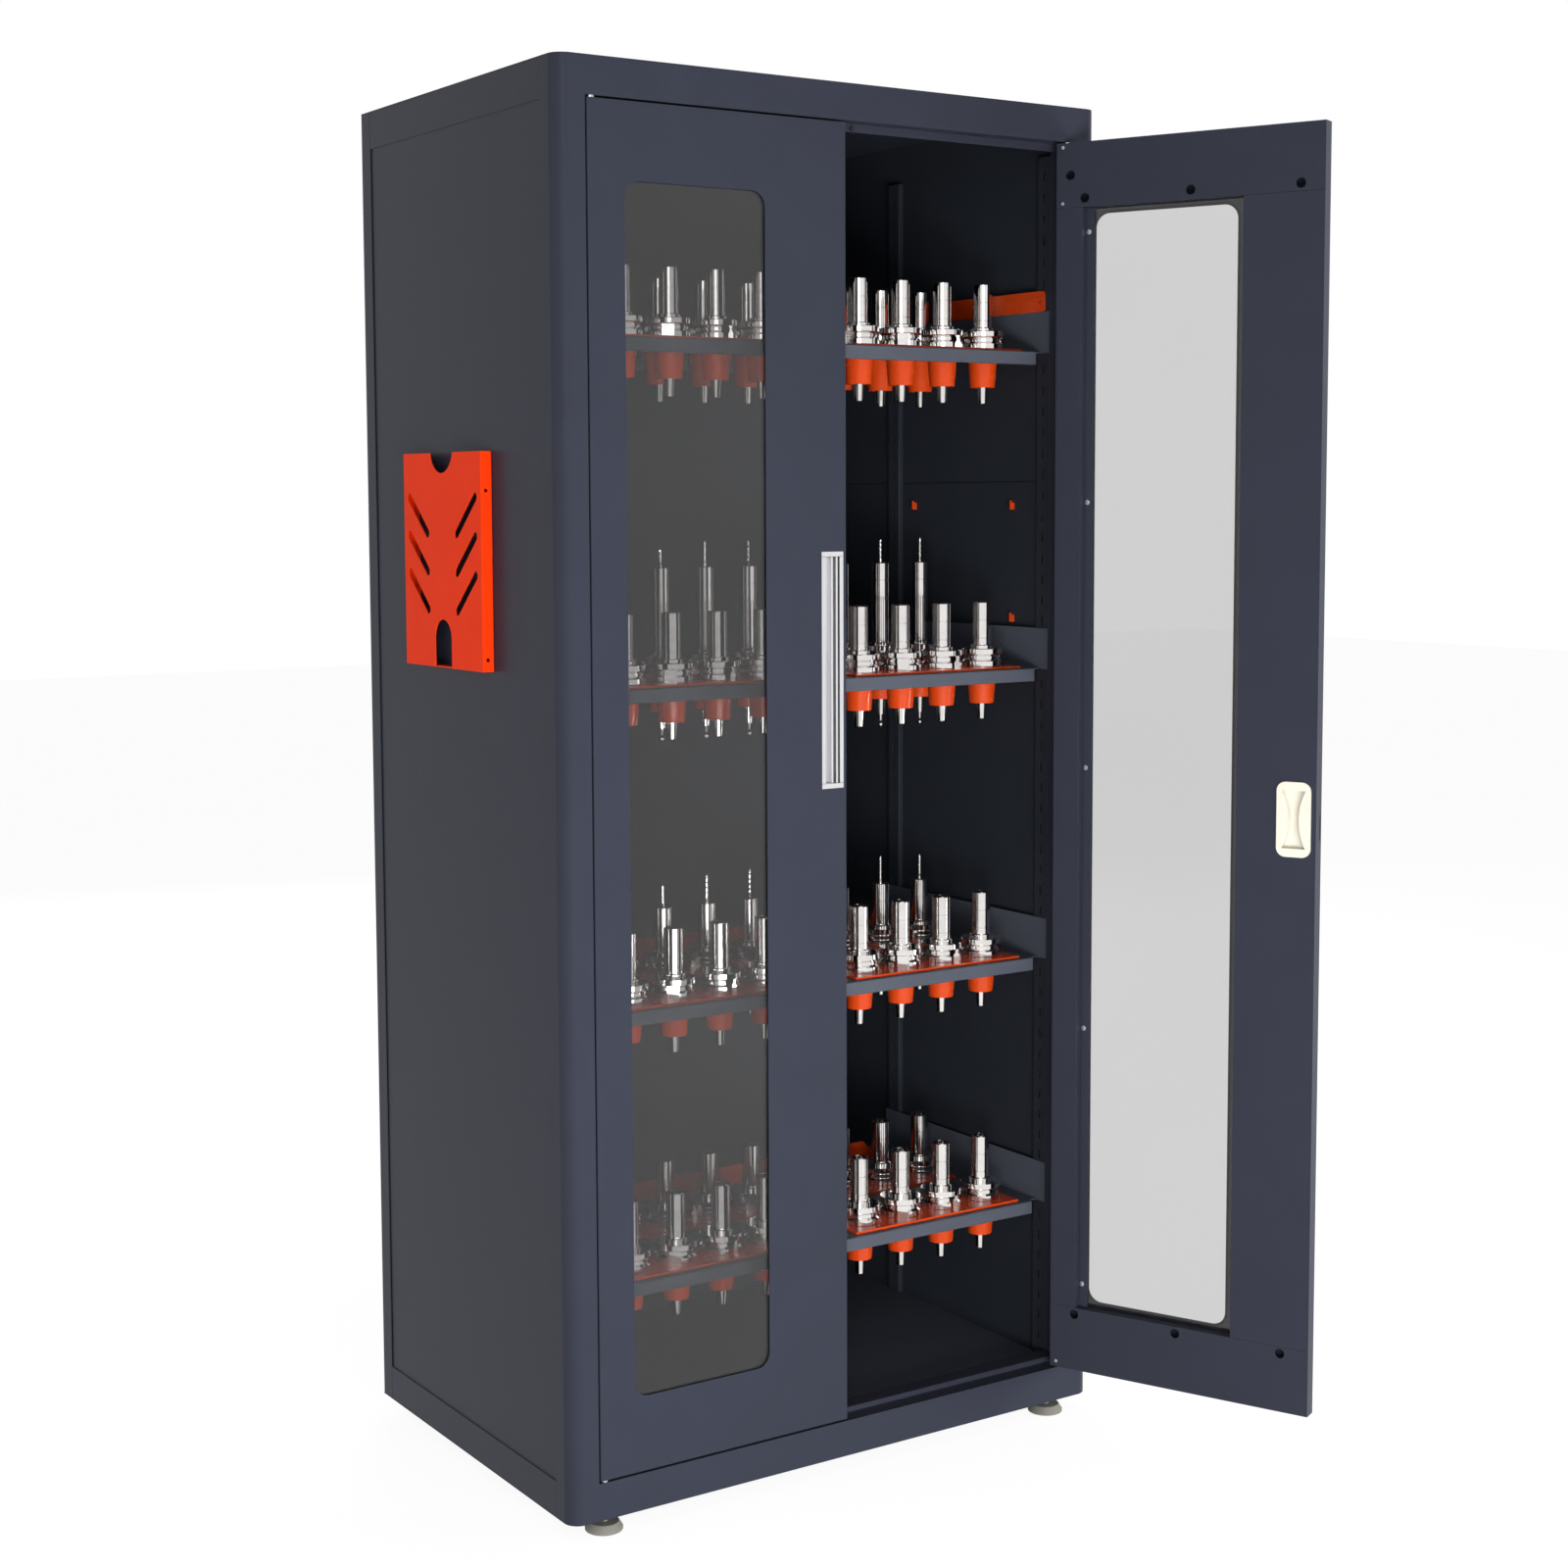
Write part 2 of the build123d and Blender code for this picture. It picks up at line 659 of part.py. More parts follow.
cam_slot_depth = barrel_depth + cam_thickness / 2
cam_swing = sqrt(cam_reach ** 2 + (cam_width / 2) ** 2 - (door_width - sheet - lock_x) ** 2)
for side, name in SIDES:
    plan_side = -side

    # Skin: the front sheet and its four turned sides
    with BuildPart() as skin:
        add(door_sheet(side, 0, door_thickness, (0, door_bottom), (door_width, door_top)))
        inside = door_sheet(side, sheet, door_thickness, (sheet, door_bottom + sheet),
                            (door_width - sheet, door_top - sheet))
        add(inside, mode=Mode.SUBTRACT)
        inwards = Axis(door_point(side, 0, 0), door_point(side, 0, 1) - door_point(side, 0, 0))
        fillet(skin.faces().sort_by(inwards)[0].edges(), door_edge_radius)
        with BuildSketch(door_plane(side, 0)):
            with Locations((window_inset + window_width / 2, (window_bottom + window_top) / 2)):
                RectangleRounded(window_width, window_top - window_bottom, window_radius)
            with Locations(((handle_inner + handle_outer) / 2, handle_bottom + handle_height / 2)):
                Rectangle(handle_width - 2 * handle_flange, handle_height - 2 * handle_flange)
            if side == RIGHT:
                with Locations((lock_x, lock_height)):
                    Circle(barrel_radius + running_gap)
        extrude(amount=side * sheet, mode=Mode.SUBTRACT)
        with Locations((side * pivot_x, pivot_y, 0)):
            Cylinder(bush_radius, 2 * cabinet_height, mode=Mode.SUBTRACT)
        with BuildSketch(door_plan(side, lock_height - cam_swing - cam_slot_gap)):
            with Locations((door_width - sheet / 2, plan_side * cam_slot_depth)):
                Rectangle(2 * sheet, cam_thickness + 2 * cam_slot_gap)
        extrude(amount=cam_swing + cam_width / 2 + 2 * cam_slot_gap, mode=Mode.SUBTRACT)
    save(skin.part, f"{name}_door_skin")

    # Inner rails, each with a return that holds the glass
    return_depth = glass_back + seat_gap
    return_height = inner_face - return_depth + sheet
    with BuildPart() as rails:
        for low, high, lip, places in (
                (rail_line, door_top - sheet, rail_line, [(x, door_top - z) for x, z in top_holes]),
                (door_bottom + sheet, bottom_rail_line, bottom_rail_line - sheet,
                 [(x, door_bottom + z) for x, z in bottom_holes])):
            add(door_sheet(side, inner_face, sheet, (sheet, low), (door_width - sheet, high), places))
            add(door_sheet(side, return_depth, return_height, (hinge_stile_width, lip),
                           (lock_stile_line, lip + sheet)))
    save(rails.part, f"{name}_door_inner_rails")

    # Inner stiles: a narrow one at the hinges and a broad one at the free edge
    with BuildPart() as stiles:
        add(door_sheet(side, inner_face, sheet, (sheet, bottom_rail_line), (hinge_stile_width, rail_line)))
        add(door_sheet(side, sheet, inner_face, (hinge_stile_width - sheet, bottom_rail_line),
                       (hinge_stile_width, rail_line)))
        add(door_sheet(side, inner_face, sheet, (lock_stile_line, bottom_rail_line),
                       (door_width - sheet, rail_line)))
        add(door_sheet(side, return_depth, return_height, (lock_stile_line, bottom_rail_line),
                       (lock_stile_line + sheet, rail_line)))
        if side == RIGHT:
            with BuildSketch(door_plane(side, inner_face)):
                with Locations((lock_x, lock_height)):
                    Rectangle(scoop_width + 2 * cover_wall, scoop_height + 2 * cover_wall)
            extrude(amount=side * sheet, mode=Mode.SUBTRACT)
    save(stiles.part, f"{name}_door_inner_stiles")

    # Glass on its gasket, and the strip that clamps it at the hinge side
    glass_low = (glass_hinge_edge, bottom_rail_line - sheet - glass_edge + seat_gap)
    glass_high = (lock_stile_line + sheet + glass_edge, rail_line + sheet + glass_edge - seat_gap)
    save(door_sheet(side, glass_front, glass_thickness, glass_low, glass_high), f"{name}_door_glass")
    with BuildPart() as gasket:
        with BuildSketch(door_plane(side, sheet)):
            with Locations((window_inset + window_width / 2, (window_bottom + window_top) / 2)):
                RectangleRounded(window_width + 2 * gasket_lap, window_top - window_bottom + 2 * gasket_lap,
                                 window_radius + gasket_lap)
                RectangleRounded(window_width, window_top - window_bottom, window_radius, mode=Mode.SUBTRACT)
        extrude(amount=side * gasket_thickness)
    save(gasket.part, f"{name}_door_gasket")
    clamp_depth = glass_back + seat_gap
    clamp_low = (hinge_stile_width + seat_gap, bottom_rail_line + seat_gap)
    clamp_leg = (glass_hinge_edge - seat_gap, rail_line - seat_gap)
    with BuildPart() as clamp_strip:
        add(door_sheet(side, clamp_depth, clamp_thickness, clamp_low, (window_inset, rail_line - seat_gap)))
        add(door_sheet(side, sheet, clamp_depth + clamp_thickness - sheet, clamp_low, clamp_leg))
        with BuildSketch(door_plane(side, sheet)):
            with Locations(*[(screw_inset, z) for z in screw_heights]):
                Circle(screw_radius)
        extrude(amount=side * door_thickness, mode=Mode.SUBTRACT)
    save(clamp_strip.part, f"{name}_door_clamp_strip")

    # Screws of the clamping strip and rivets of the inner sheets
    with BuildPart() as fasteners:
        with BuildSketch(door_plane(side, sheet)):
            with Locations(*[(screw_inset, z) for z in screw_heights]):
                Circle(screw_radius)
        extrude(amount=side * (clamp_depth + clamp_thickness - sheet))
        with BuildSketch(door_plane(side, clamp_depth + clamp_thickness)):
            with Locations(*[(screw_inset, z) for z in screw_heights]):
                Circle(screw_head_radius)
        extrude(amount=side * screw_head_height)
        with BuildSketch(door_plane(side, door_thickness)):
            with Locations(*[(rivet_inset, z) for z in rivet_heights]):
                Circle(rivet_radius)
        extrude(amount=side * rivet_height)
    save(fasteners.part, f"{name}_door_screws")

    # Pivot bushes, a flanged sleeve in each end of the door
    with BuildPart() as bushes:
        for end, way in ((door_top, 1), (door_bottom, -1)):
            with BuildSketch(Plane.XY.offset(end)):
                with Locations((side * pivot_x, pivot_y)):
                    Circle(bush_flange_radius)
                    Circle(pin_radius + running_gap, mode=Mode.SUBTRACT)
            extrude(amount=way * bush_flange)
            with BuildSketch(Plane.XY.offset(end)):
                with Locations((side * pivot_x, pivot_y)):
                    Circle(bush_radius)
                    Circle(pin_radius + running_gap, mode=Mode.SUBTRACT)
            extrude(amount=-way * pin_engagement)
    save(bushes.part, f"{name}_door_bushes")

    # Recessed pull handle: a ribbed channel section, with a cap at each end
    plate_width = handle_flange + seat_gap + handle_wall
    trough_floor = handle_depth - handle_wall
    section = [(handle_inner, -handle_proud, plate_width, handle_proud),
               (handle_outer - plate_width, -handle_proud, plate_width, handle_proud),
               (trough_inner, -handle_proud, handle_wall, handle_depth + handle_proud),
               (trough_outer - handle_wall, -handle_proud, handle_wall, handle_depth + handle_proud),
               (trough_inner, trough_floor, trough_outer - trough_inner, handle_wall)]
    section += [(handle_inner + across, handle_depth - length, handle_rib, length)
                for across, length in zip(handle_rib_places, handle_rib_lengths)]
    cap_height = handle_flange + seat_gap + handle_cap
    with BuildPart() as handle:
        with BuildSketch(door_plan(side, handle_bottom + cap_height + seat_gap)):
            for x, depth, width, length in section:
                with Locations((x + width / 2, plan_side * (depth + length / 2))):
                    Rectangle(width, length)
        extrude(amount=handle_height - 2 * (cap_height + seat_gap))
        upper_cap = handle_bottom + handle_height - cap_height
        for low, wall in ((handle_bottom, handle_bottom + cap_height - handle_cap), (upper_cap, upper_cap)):
            add(door_sheet(side, -handle_proud, handle_proud, (handle_inner, low),
                           (handle_outer, low + cap_height)))
            add(door_sheet(side, 0, handle_depth, (trough_inner, wall), (trough_outer, wall + handle_cap)))
    save(handle.part, f"{name}_door_handle")

# Lock of the right door: barrel in the skin, plug and cam that turn, cover with a finger scoop
with BuildPart() as lock_barrel:
    with BuildSketch(door_plane(RIGHT, -barrel_bezel)):
        with Locations((lock_x, lock_height)):
            Circle(barrel_bezel_radius)
            Circle(plug_radius + running_gap, mode=Mode.SUBTRACT)
    extrude(amount=barrel_bezel)
    with BuildSketch(door_plane(RIGHT, -barrel_bezel)):
        with Locations((lock_x, lock_height)):
            Circle(barrel_radius)
            Circle(plug_radius + running_gap, mode=Mode.SUBTRACT)
    extrude(amount=barrel_bezel + barrel_depth - seat_gap)
save(lock_barrel.part, "lock_barrel")

with BuildPart() as lock_plug:
    with BuildSketch(door_plane(RIGHT, -barrel_bezel - plug_proud)):
        with Locations((lock_x, lock_height)):
            Circle(plug_radius)
    extrude(amount=barrel_bezel + plug_proud + barrel_depth)
    with BuildSketch(door_plane(RIGHT, -barrel_bezel - plug_proud)):
        with Locations((lock_x, lock_height)):
            Rectangle(key_slot_width, key_slot_height)
    extrude(amount=key_slot_depth, mode=Mode.SUBTRACT)
save(lock_plug.part, "lock_plug")

with BuildPart() as lock_cam:
    with BuildSketch(door_plane(RIGHT, barrel_depth)):
        with Locations((lock_x, lock_height - cam_reach / 2)):
            Rectangle(cam_width, cam_reach)
        with Locations((lock_x, lock_height)):
            Circle(plug_radius)
    extrude(amount=cam_thickness)
save(lock_cam.part, "lock_cam")

cover_back = door_thickness - cover_wall - scoop_depth
scoop_near = lock_x - scoop_width / 2
scoop_far = lock_x + scoop_width / 2
scoop_low = lock_height - scoop_height / 2
scoop_top = lock_height + scoop_height / 2
with BuildPart() as lock_cover:
    with BuildSketch(door_plane(RIGHT, door_thickness)):
        with Locations((lock_x, lock_height)):
            RectangleRounded(cover_width, cover_height, cover_radius)
    extrude(amount=cover_proud)
    with BuildSketch(door_plane(RIGHT, cover_back)):
        with Locations((lock_x, lock_height)):
            Rectangle(scoop_width + 2 * cover_wall - seat_gap, scoop_height + 2 * cover_wall - seat_gap)
    extrude(amount=door_thickness - cover_back)
    with BuildSketch(door_plane(RIGHT, cover_back + cover_wall)):
        with BuildLine():
            ThreePointArc((scoop_far, scoop_top), (scoop_far - scoop_waist, lock_height),
                          (scoop_far, scoop_low))
            Line((scoop_far, scoop_low), (scoop_near, scoop_low))
            ThreePointArc((scoop_near, scoop_low), (scoop_near + scoop_waist, lock_height),
                          (scoop_near, scoop_top))
            Line((scoop_near, scoop_top), (scoop_far, scoop_top))
        make_face()
    extrude(amount=scoop_depth + cover_proud, mode=Mode.SUBTRACT)
save(lock_cover.part, "lock_cover")

# Pivot pins, pushed through the face frame from inside, and the washers round them
rail_flange_top = opening_top + sheet
sill_flange_bottom = opening_bottom - sheet
washer_height = door_gap - bush_flange - washer_gap
with BuildPart() as pivot_pins:
    for seat, way in ((rail_flange_top, 1), (sill_flange_bottom, -1)):
        with BuildSketch(Plane.XY.offset(seat)):
            with Locations((pivot_x, pivot_y), (-pivot_x, pivot_y)):
                Circle(pin_head_radius)
        extrude(amount=way * pin_head_height)
        with BuildSketch(Plane.XY.offset(seat)):
            with Locations((pivot_x, pivot_y), (-pivot_x, pivot_y)):
                Circle(pin_radius)
        extrude(amount=-way * (sheet + door_gap + pin_engagement))
save(pivot_pins.part, "pivot_pins")

with BuildPart() as pivot_washers:
    for seat, way in ((opening_top, -1), (opening_bottom, 1)):
        with BuildSketch(Plane.XY.offset(seat)):
            with Locations((pivot_x, pivot_y), (-pivot_x, pivot_y)):
                Circle(washer_radius)
                Circle(pin_radius + running_gap, mode=Mode.SUBTRACT)
        extrude(amount=way * washer_height)
save(pivot_washers.part, "pivot_washers")

# Rubber bumpers on the top stop, one for each door
bumper_height = door_top - bumper_radius - seat_gap
with BuildPart() as door_bumpers:
    with BuildSketch(Plane.XZ.offset(-stop_face)):
        with Locations((bumper_inset, bumper_height), (-bumper_inset, bumper_height)):
            Circle(bumper_radius)
    extrude(amount=stop_setback - door_thickness - seat_gap)
save(door_bumpers.part, "door_bumpers")

# Threaded inserts on the base plate, and the four levelling feet
with BuildPart() as foot_inserts:
    with BuildSketch(Plane.XY.offset(base_top)):
        with GridLocations(2 * foot_x, 2 * foot_y, 2, 2):
            Circle(insert_radius)
            Circle(stud_rod_radius + running_gap, mode=Mode.SUBTRACT)
    extrude(amount=insert_height)
save(foot_inserts.part, "foot_inserts")

for side, name in SIDES:
    for end, place in ((-1, "front"), (1, "rear")):
        with BuildPart() as foot:
            foot_plane = Plane(origin=(side * foot_x, end * foot_y, 0), x_dir=(1, 0, 0), z_dir=(0, -1, 0))
            with BuildSketch(foot_plane):
                with BuildLine():
                    Polyline((0, 0), (foot_pad_radius, 0), (foot_pad_radius, foot_pad_rim),
                             (foot_pad_top_radius, foot_pad_height), (stud_rod_radius, foot_pad_height),
                             (stud_rod_radius, foot_stud_top), (0, foot_stud_top), close=True)
                make_face()
            revolve(axis=Axis((side * foot_x, end * foot_y, 0), (0, 0, 1)))
        save(foot.part, f"foot_{place}_{name}")

# Document pocket on the left side: slotted front, two sides, a bottom ledge and mounting flanges
panel_face = -half_width + panel_recess
pocket_face = -half_width - pocket_depth
pocket_middle = pocket_front + pocket_width / 2
pocket_top = pocket_bottom + pocket_height
side_length = panel_face - pocket_face
wrap_line = ((panel_face, pocket_front + pocket_flange), (panel_face, pocket_front),
             (pocket_face, pocket_front), (pocket_face, pocket_front + pocket_width), (panel_face, pocket_front + pocket_width),
             (panel_face, pocket_front + pocket_width - pocket_flange))
screw_places = [(pocket_middle + way * (pocket_width / 2 - pocket_flange / 2), z) for way in (-1, 1)
                for z in (pocket_bottom + pocket_screw_inset, pocket_top - pocket_screw_inset)]
with BuildPart() as document_pocket:
    add(folded_part(Plane.XY.offset(pocket_bottom), tuple(reversed(wrap_line)), pocket_height))
    with BuildSketch(Plane.XY.offset(pocket_bottom)):
        with Locations(((panel_face + pocket_face) / 2, pocket_middle)):
            Rectangle(side_length, pocket_width - 2 * sheet)
    extrude(amount=sheet)
    with BuildSketch(Plane.YZ.offset(pocket_face)):
        with Locations((pocket_middle, pocket_top + pocket_notch_width / 2 - pocket_notch_depth)):
            Circle(pocket_notch_width / 2)
        with Locations((pocket_middle, pocket_bottom)):
            SlotOverall(2 * pocket_slot_height, pocket_slot_width, rotation=90)
        for way in (-1, 1):
            for row in range(3):
                outer = (pocket_middle + way * (pocket_width / 2 - chevron_side), pocket_top - chevron_top)
                start = (outer[0], outer[1] - row * chevron_pitch)
                end = (start[0] - way * chevron_run, start[1] - chevron_drop)
                with BuildLine() as slant:
                    Line(start, end)
                SlotCenterPoint(slant.line @ 0.5, end, chevron_width)
    extrude(amount=sheet, mode=Mode.SUBTRACT)
    with BuildSketch(Plane.XZ.offset(-pocket_front)):
        with Locations((pocket_face + pocket_hole_inset, pocket_top - chevron_pitch),
                       (pocket_face + pocket_hole_inset, pocket_bottom + pocket_screw_inset / 2)):
            Circle(pocket_hole_radius)
    extrude(amount=-sheet, mode=Mode.SUBTRACT)
    with BuildSketch(Plane.YZ.offset(panel_face)):
        with Locations(*screw_places):
            Circle(pocket_screw_radius)
    extrude(amount=-sheet, mode=Mode.SUBTRACT)
save(document_pocket.part, "document_pocket")

with BuildPart() as pocket_screws:
    with BuildSketch(Plane.YZ.offset(panel_face)):
        with Locations(*screw_places):
            Circle(pocket_screw_radius)
    extrude(amount=-sheet)
    with BuildSketch(Plane.YZ.offset(panel_face - sheet)):
        with Locations(*screw_places):
            Circle(pocket_screw_head_radius)
    extrude(amount=-pocket_screw_head)
save(pocket_screws.part, "pocket_screws")
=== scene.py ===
"""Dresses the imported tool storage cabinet: its finishes, its detailed pieces, the light and the camera."""
import json
import logging
import math
from dataclasses import dataclass, field
from enum import Enum

import bmesh
import bpy
from mathutils import Euler, Matrix, Vector

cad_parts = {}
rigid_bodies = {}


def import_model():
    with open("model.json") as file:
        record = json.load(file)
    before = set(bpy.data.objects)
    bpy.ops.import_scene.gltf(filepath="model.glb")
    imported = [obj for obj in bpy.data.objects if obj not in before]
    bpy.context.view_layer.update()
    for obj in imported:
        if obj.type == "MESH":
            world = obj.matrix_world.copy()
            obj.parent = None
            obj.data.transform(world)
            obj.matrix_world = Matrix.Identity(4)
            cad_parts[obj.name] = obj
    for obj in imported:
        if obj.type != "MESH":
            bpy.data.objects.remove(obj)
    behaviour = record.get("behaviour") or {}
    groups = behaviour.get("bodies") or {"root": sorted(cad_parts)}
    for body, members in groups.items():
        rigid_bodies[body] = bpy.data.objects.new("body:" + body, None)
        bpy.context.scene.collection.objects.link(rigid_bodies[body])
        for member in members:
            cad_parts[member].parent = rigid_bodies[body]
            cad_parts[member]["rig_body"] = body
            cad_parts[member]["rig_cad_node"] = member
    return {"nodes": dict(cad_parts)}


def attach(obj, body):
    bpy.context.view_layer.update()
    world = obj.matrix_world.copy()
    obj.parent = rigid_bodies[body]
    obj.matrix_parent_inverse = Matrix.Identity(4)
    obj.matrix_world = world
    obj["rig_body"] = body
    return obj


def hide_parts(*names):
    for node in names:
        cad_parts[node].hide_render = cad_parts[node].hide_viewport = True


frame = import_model()

LOG = logging.getLogger("cabinet")
CABINET_BODY = "cabinet"
MILLIMETRE = 0.001
NOISE_LOW = 0.3
NOISE_HIGH = 0.7

Colour = tuple[float, float, float]


class Grain(Enum):
    """How the skin of a coating is broken up."""

    SMOOTH = "smooth"
    ORANGE_PEEL = "orange peel"
    SATIN_LINES = "satin lines"


def shader_nodes(name: str) -> tuple[bpy.types.Material, bpy.types.NodeTree, bpy.types.ShaderNode]:
    """Makes an empty material with its main shader.

    Args:
        name: the material's name.

    Returns:
        The material, its node tree and its Principled shader.
    """
    material = bpy.data.materials.new(name)
    material.use_nodes = True
    tree = material.node_tree
    return material, tree, tree.nodes["Principled BSDF"]


def object_pattern(tree: bpy.types.NodeTree, stretch: Colour) -> bpy.types.NodeSocket:
    """Gives the place on a piece, stretched along each axis.

    Args:
        tree: the node tree that gets the nodes.
        stretch: how many times the pattern repeats along X, Y and Z.

    Returns:
        The socket that carries the place.
    """
    place = tree.nodes.new("ShaderNodeTexCoord")
    mapping = tree.nodes.new("ShaderNodeMapping")
    mapping.inputs["Scale"].default_value = stretch
    tree.links.new(place.outputs["Object"], mapping.inputs["Vector"])
    return mapping.outputs["Vector"]


def noise(tree: bpy.types.NodeTree, place: bpy.types.NodeSocket, scale: float,
          detail: float) -> bpy.types.NodeSocket:
    """Adds a noise pattern.

    Args:
        tree: the node tree that gets the node.
        place: the socket with the place on the piece.
        scale: how fine the noise is.
        detail: how many octaves it has.

    Returns:
        The socket with the noise, from 0 to 1.
    """
    node = tree.nodes.new("ShaderNodeTexNoise")
    node.inputs["Scale"].default_value = scale
    node.inputs["Detail"].default_value = detail
    tree.links.new(place, node.inputs["Vector"])
    return node.outputs["Fac"]


def spread(tree: bpy.types.NodeTree, value: bpy.types.NodeSocket, low: float,
           high: float) -> bpy.types.NodeSocket:
    """Spreads the middle of a noise over a range.

    Args:
        tree: the node tree that gets the node.
        value: the noise.
        low: the result where the noise is low.
        high: the result where the noise is high.

    Returns:
        The socket with the result.
    """
    node = tree.nodes.new("ShaderNodeMapRange")
    node.inputs["From Min"].default_value = NOISE_LOW
    node.inputs["From Max"].default_value = NOISE_HIGH
    node.inputs["To Min"].default_value = low
    node.inputs["To Max"].default_value = high
    tree.links.new(value, node.inputs["Value"])
    return node.outputs["Result"]


@dataclass(frozen=True)
class Finish:
    """An opaque finish: a mottled colour, an uneven gloss and, on some, a fine relief.

    Sizes of patterns are per metre, because the pieces are in metres.
    """

    name: str
    slot: str
    colour: Colour
    shade: float = 0.85
    roughness: float = 0.45
    roughness_play: float = 0.08
    metallic: float = 0.0
    specular: float = 0.5
    grain: Grain = Grain.SMOOTH
    grain_scale: float = 420.0
    grain_depth: float = 0.00015
    grain_strength: float = 0.25
    grain_detail: float = 2.0
    mottle_scale: float = 14.0
    mottle_detail: float = 5.0
    smear_ratio: float = 6.0
    smear_detail: float = 3.0
    line_stretch: float = 0.02

    def build(self) -> bpy.types.Material:
        """Makes the material.

        Returns:
            The finished material.
        """
        material, tree, shader = shader_nodes(self.name)
        shader.inputs["Metallic"].default_value = self.metallic
        shader.inputs["Specular IOR Level"].default_value = self.specular
        along = self.line_stretch if self.grain is Grain.SATIN_LINES else 1.0
        place = object_pattern(tree, (1.0, 1.0, along))
        mottle = noise(tree, place, self.mottle_scale, self.mottle_detail)
        mix = tree.nodes.new("ShaderNodeMix")
        mix.data_type = "RGBA"
        mix.inputs["A"].default_value = (*[c * self.shade for c in self.colour], 1.0)
        mix.inputs["B"].default_value = (*self.colour, 1.0)
        tree.links.new(spread(tree, mottle, 0.0, 1.0), mix.inputs["Factor"])
        tree.links.new(mix.outputs["Result"], shader.inputs["Base Color"])
        smear = noise(tree, place, self.mottle_scale * self.smear_ratio, self.smear_detail)
        low = self.roughness - self.roughness_play
        high = self.roughness + self.roughness_play
        tree.links.new(spread(tree, smear, low, high), shader.inputs["Roughness"])
        if self.grain is Grain.ORANGE_PEEL:
            self._add_grain(tree, shader)
        return material

    def _add_grain(self, tree: bpy.types.NodeTree, shader: bpy.types.ShaderNode) -> None:
        """Adds the fine relief of the coating.

        Args:
            tree: the material's node tree.
            shader: the shader that takes the relief.
        """
        relief = noise(tree, object_pattern(tree, (1.0, 1.0, 1.0)), self.grain_scale, self.grain_detail)
        bump = tree.nodes.new("ShaderNodeBump")
        bump.inputs["Strength"].default_value = self.grain_strength
        bump.inputs["Distance"].default_value = self.grain_depth
        tree.links.new(relief, bump.inputs["Height"])
        tree.links.new(bump.outputs["Normal"], shader.inputs["Normal"])


@dataclass(frozen=True)
class Glazing:
    """Grey sheet glass, wiped clean but with faint smears."""

    name: str
    slot: str
    tint: Colour
    refraction: float = 1.5
    roughness: float = 0.0
    film_scale: float = 3.0
    film_detail: float = 2.0
    film_shade: float = 0.98

    def build(self) -> bpy.types.Material:
        """Makes the material.

        Returns:
            The finished material.
        """
        material, tree, shader = shader_nodes(self.name)
        shader.inputs["IOR"].default_value = self.refraction
        shader.inputs["Transmission Weight"].default_value = 1.0
        shader.inputs["Roughness"].default_value = self.roughness
        film = noise(tree, object_pattern(tree, (1.0, 1.0, 1.0)), self.film_scale, self.film_detail)
        wiped = tree.nodes.new("ShaderNodeMix")
        wiped.data_type = "RGBA"
        wiped.inputs["A"].default_value = (*[c * self.film_shade for c in self.tint], 1.0)
        wiped.inputs["B"].default_value = (*self.tint, 1.0)
        tree.links.new(spread(tree, film, 0.0, 1.0), wiped.inputs["Factor"])
        tree.links.new(wiped.outputs["Result"], shader.inputs["Base Color"])
        return material


PAINT_SKIN = {"grain": Grain.ORANGE_PEEL, "grain_scale": 260.0, "grain_depth": 0.0001}

SLATE_PAINT = Finish(
    "slate_hammer_paint", "body_paint", (0.030, 0.033, 0.048), shade=0.94, roughness=0.33,
    roughness_play=0.015, specular=0.08, grain_strength=0.05, **PAINT_SKIN,
)
# Two tones of one inner paint: this darker tone, on the back panel, inner walls and uprights, is painted
# shade.
INNER_SHADE_TONE = Finish(
    "inner_slate_shaded_tone", "inner_paint", (0.024, 0.028, 0.036), shade=0.92, roughness=0.42,
    roughness_play=0.015, specular=0.12, grain_strength=0.05, **PAINT_SKIN,
)
# This lighter tone of the same inner paint, on the trays and floor pan that face up, is painted light.
INNER_LIT_TONE = Finish(
    "inner_slate_lit_tone", "inner_paint", (0.075, 0.084, 0.108), shade=0.93, roughness=0.4,
    roughness_play=0.015, specular=0.15, grain_strength=0.05, **PAINT_SKIN,
)
ORANGE_PAINT = Finish(
    "orange_powder_paint", "orange_paint", (0.98, 0.045, 0.003), shade=0.95, roughness=0.45,
    roughness_play=0.02, specular=0.06, grain_strength=0.06, **PAINT_SKIN,
)
ORANGE_PLASTIC = Finish(
    "orange_moulded_plastic", "orange_plastic", (0.60, 0.055, 0.006), shade=0.95, roughness=0.24,
    roughness_play=0.05, specular=0.3, grain=Grain.ORANGE_PEEL, grain_scale=160.0, grain_strength=0.05,
)
CREAM_PLASTIC = Finish(
    "cream_moulded_plastic", "cream_plastic", (0.73, 0.70, 0.60), shade=0.97, roughness=0.38, specular=0.4,
    grain=Grain.ORANGE_PEEL, grain_scale=700.0, grain_strength=0.08,
)
FOOT_PLASTIC = Finish(
    "foot_grey_plastic", "grey_plastic", (0.20, 0.19, 0.17), shade=0.8, roughness=0.5, specular=0.4,
    grain=Grain.ORANGE_PEEL, grain_scale=900.0, grain_strength=0.15,
)
RUBBER = Finish(
    "gasket_rubber", "rubber_black", (0.018, 0.018, 0.019), roughness=0.7, specular=0.3,
    grain=Grain.ORANGE_PEEL, grain_scale=900.0, grain_strength=0.15,
)
SATIN_ALUMINIUM = Finish(
    "satin_aluminium", "satin_aluminium", (0.86, 0.86, 0.88), shade=0.88, roughness=0.34, roughness_play=0.04,
    metallic=1.0, grain=Grain.SATIN_LINES, mottle_scale=500.0,
)
ZINC = Finish(
    "zinc_plating", "zinc_steel", (0.62, 0.63, 0.64), shade=0.85, roughness=0.3, metallic=1.0,
    mottle_scale=120.0,
)
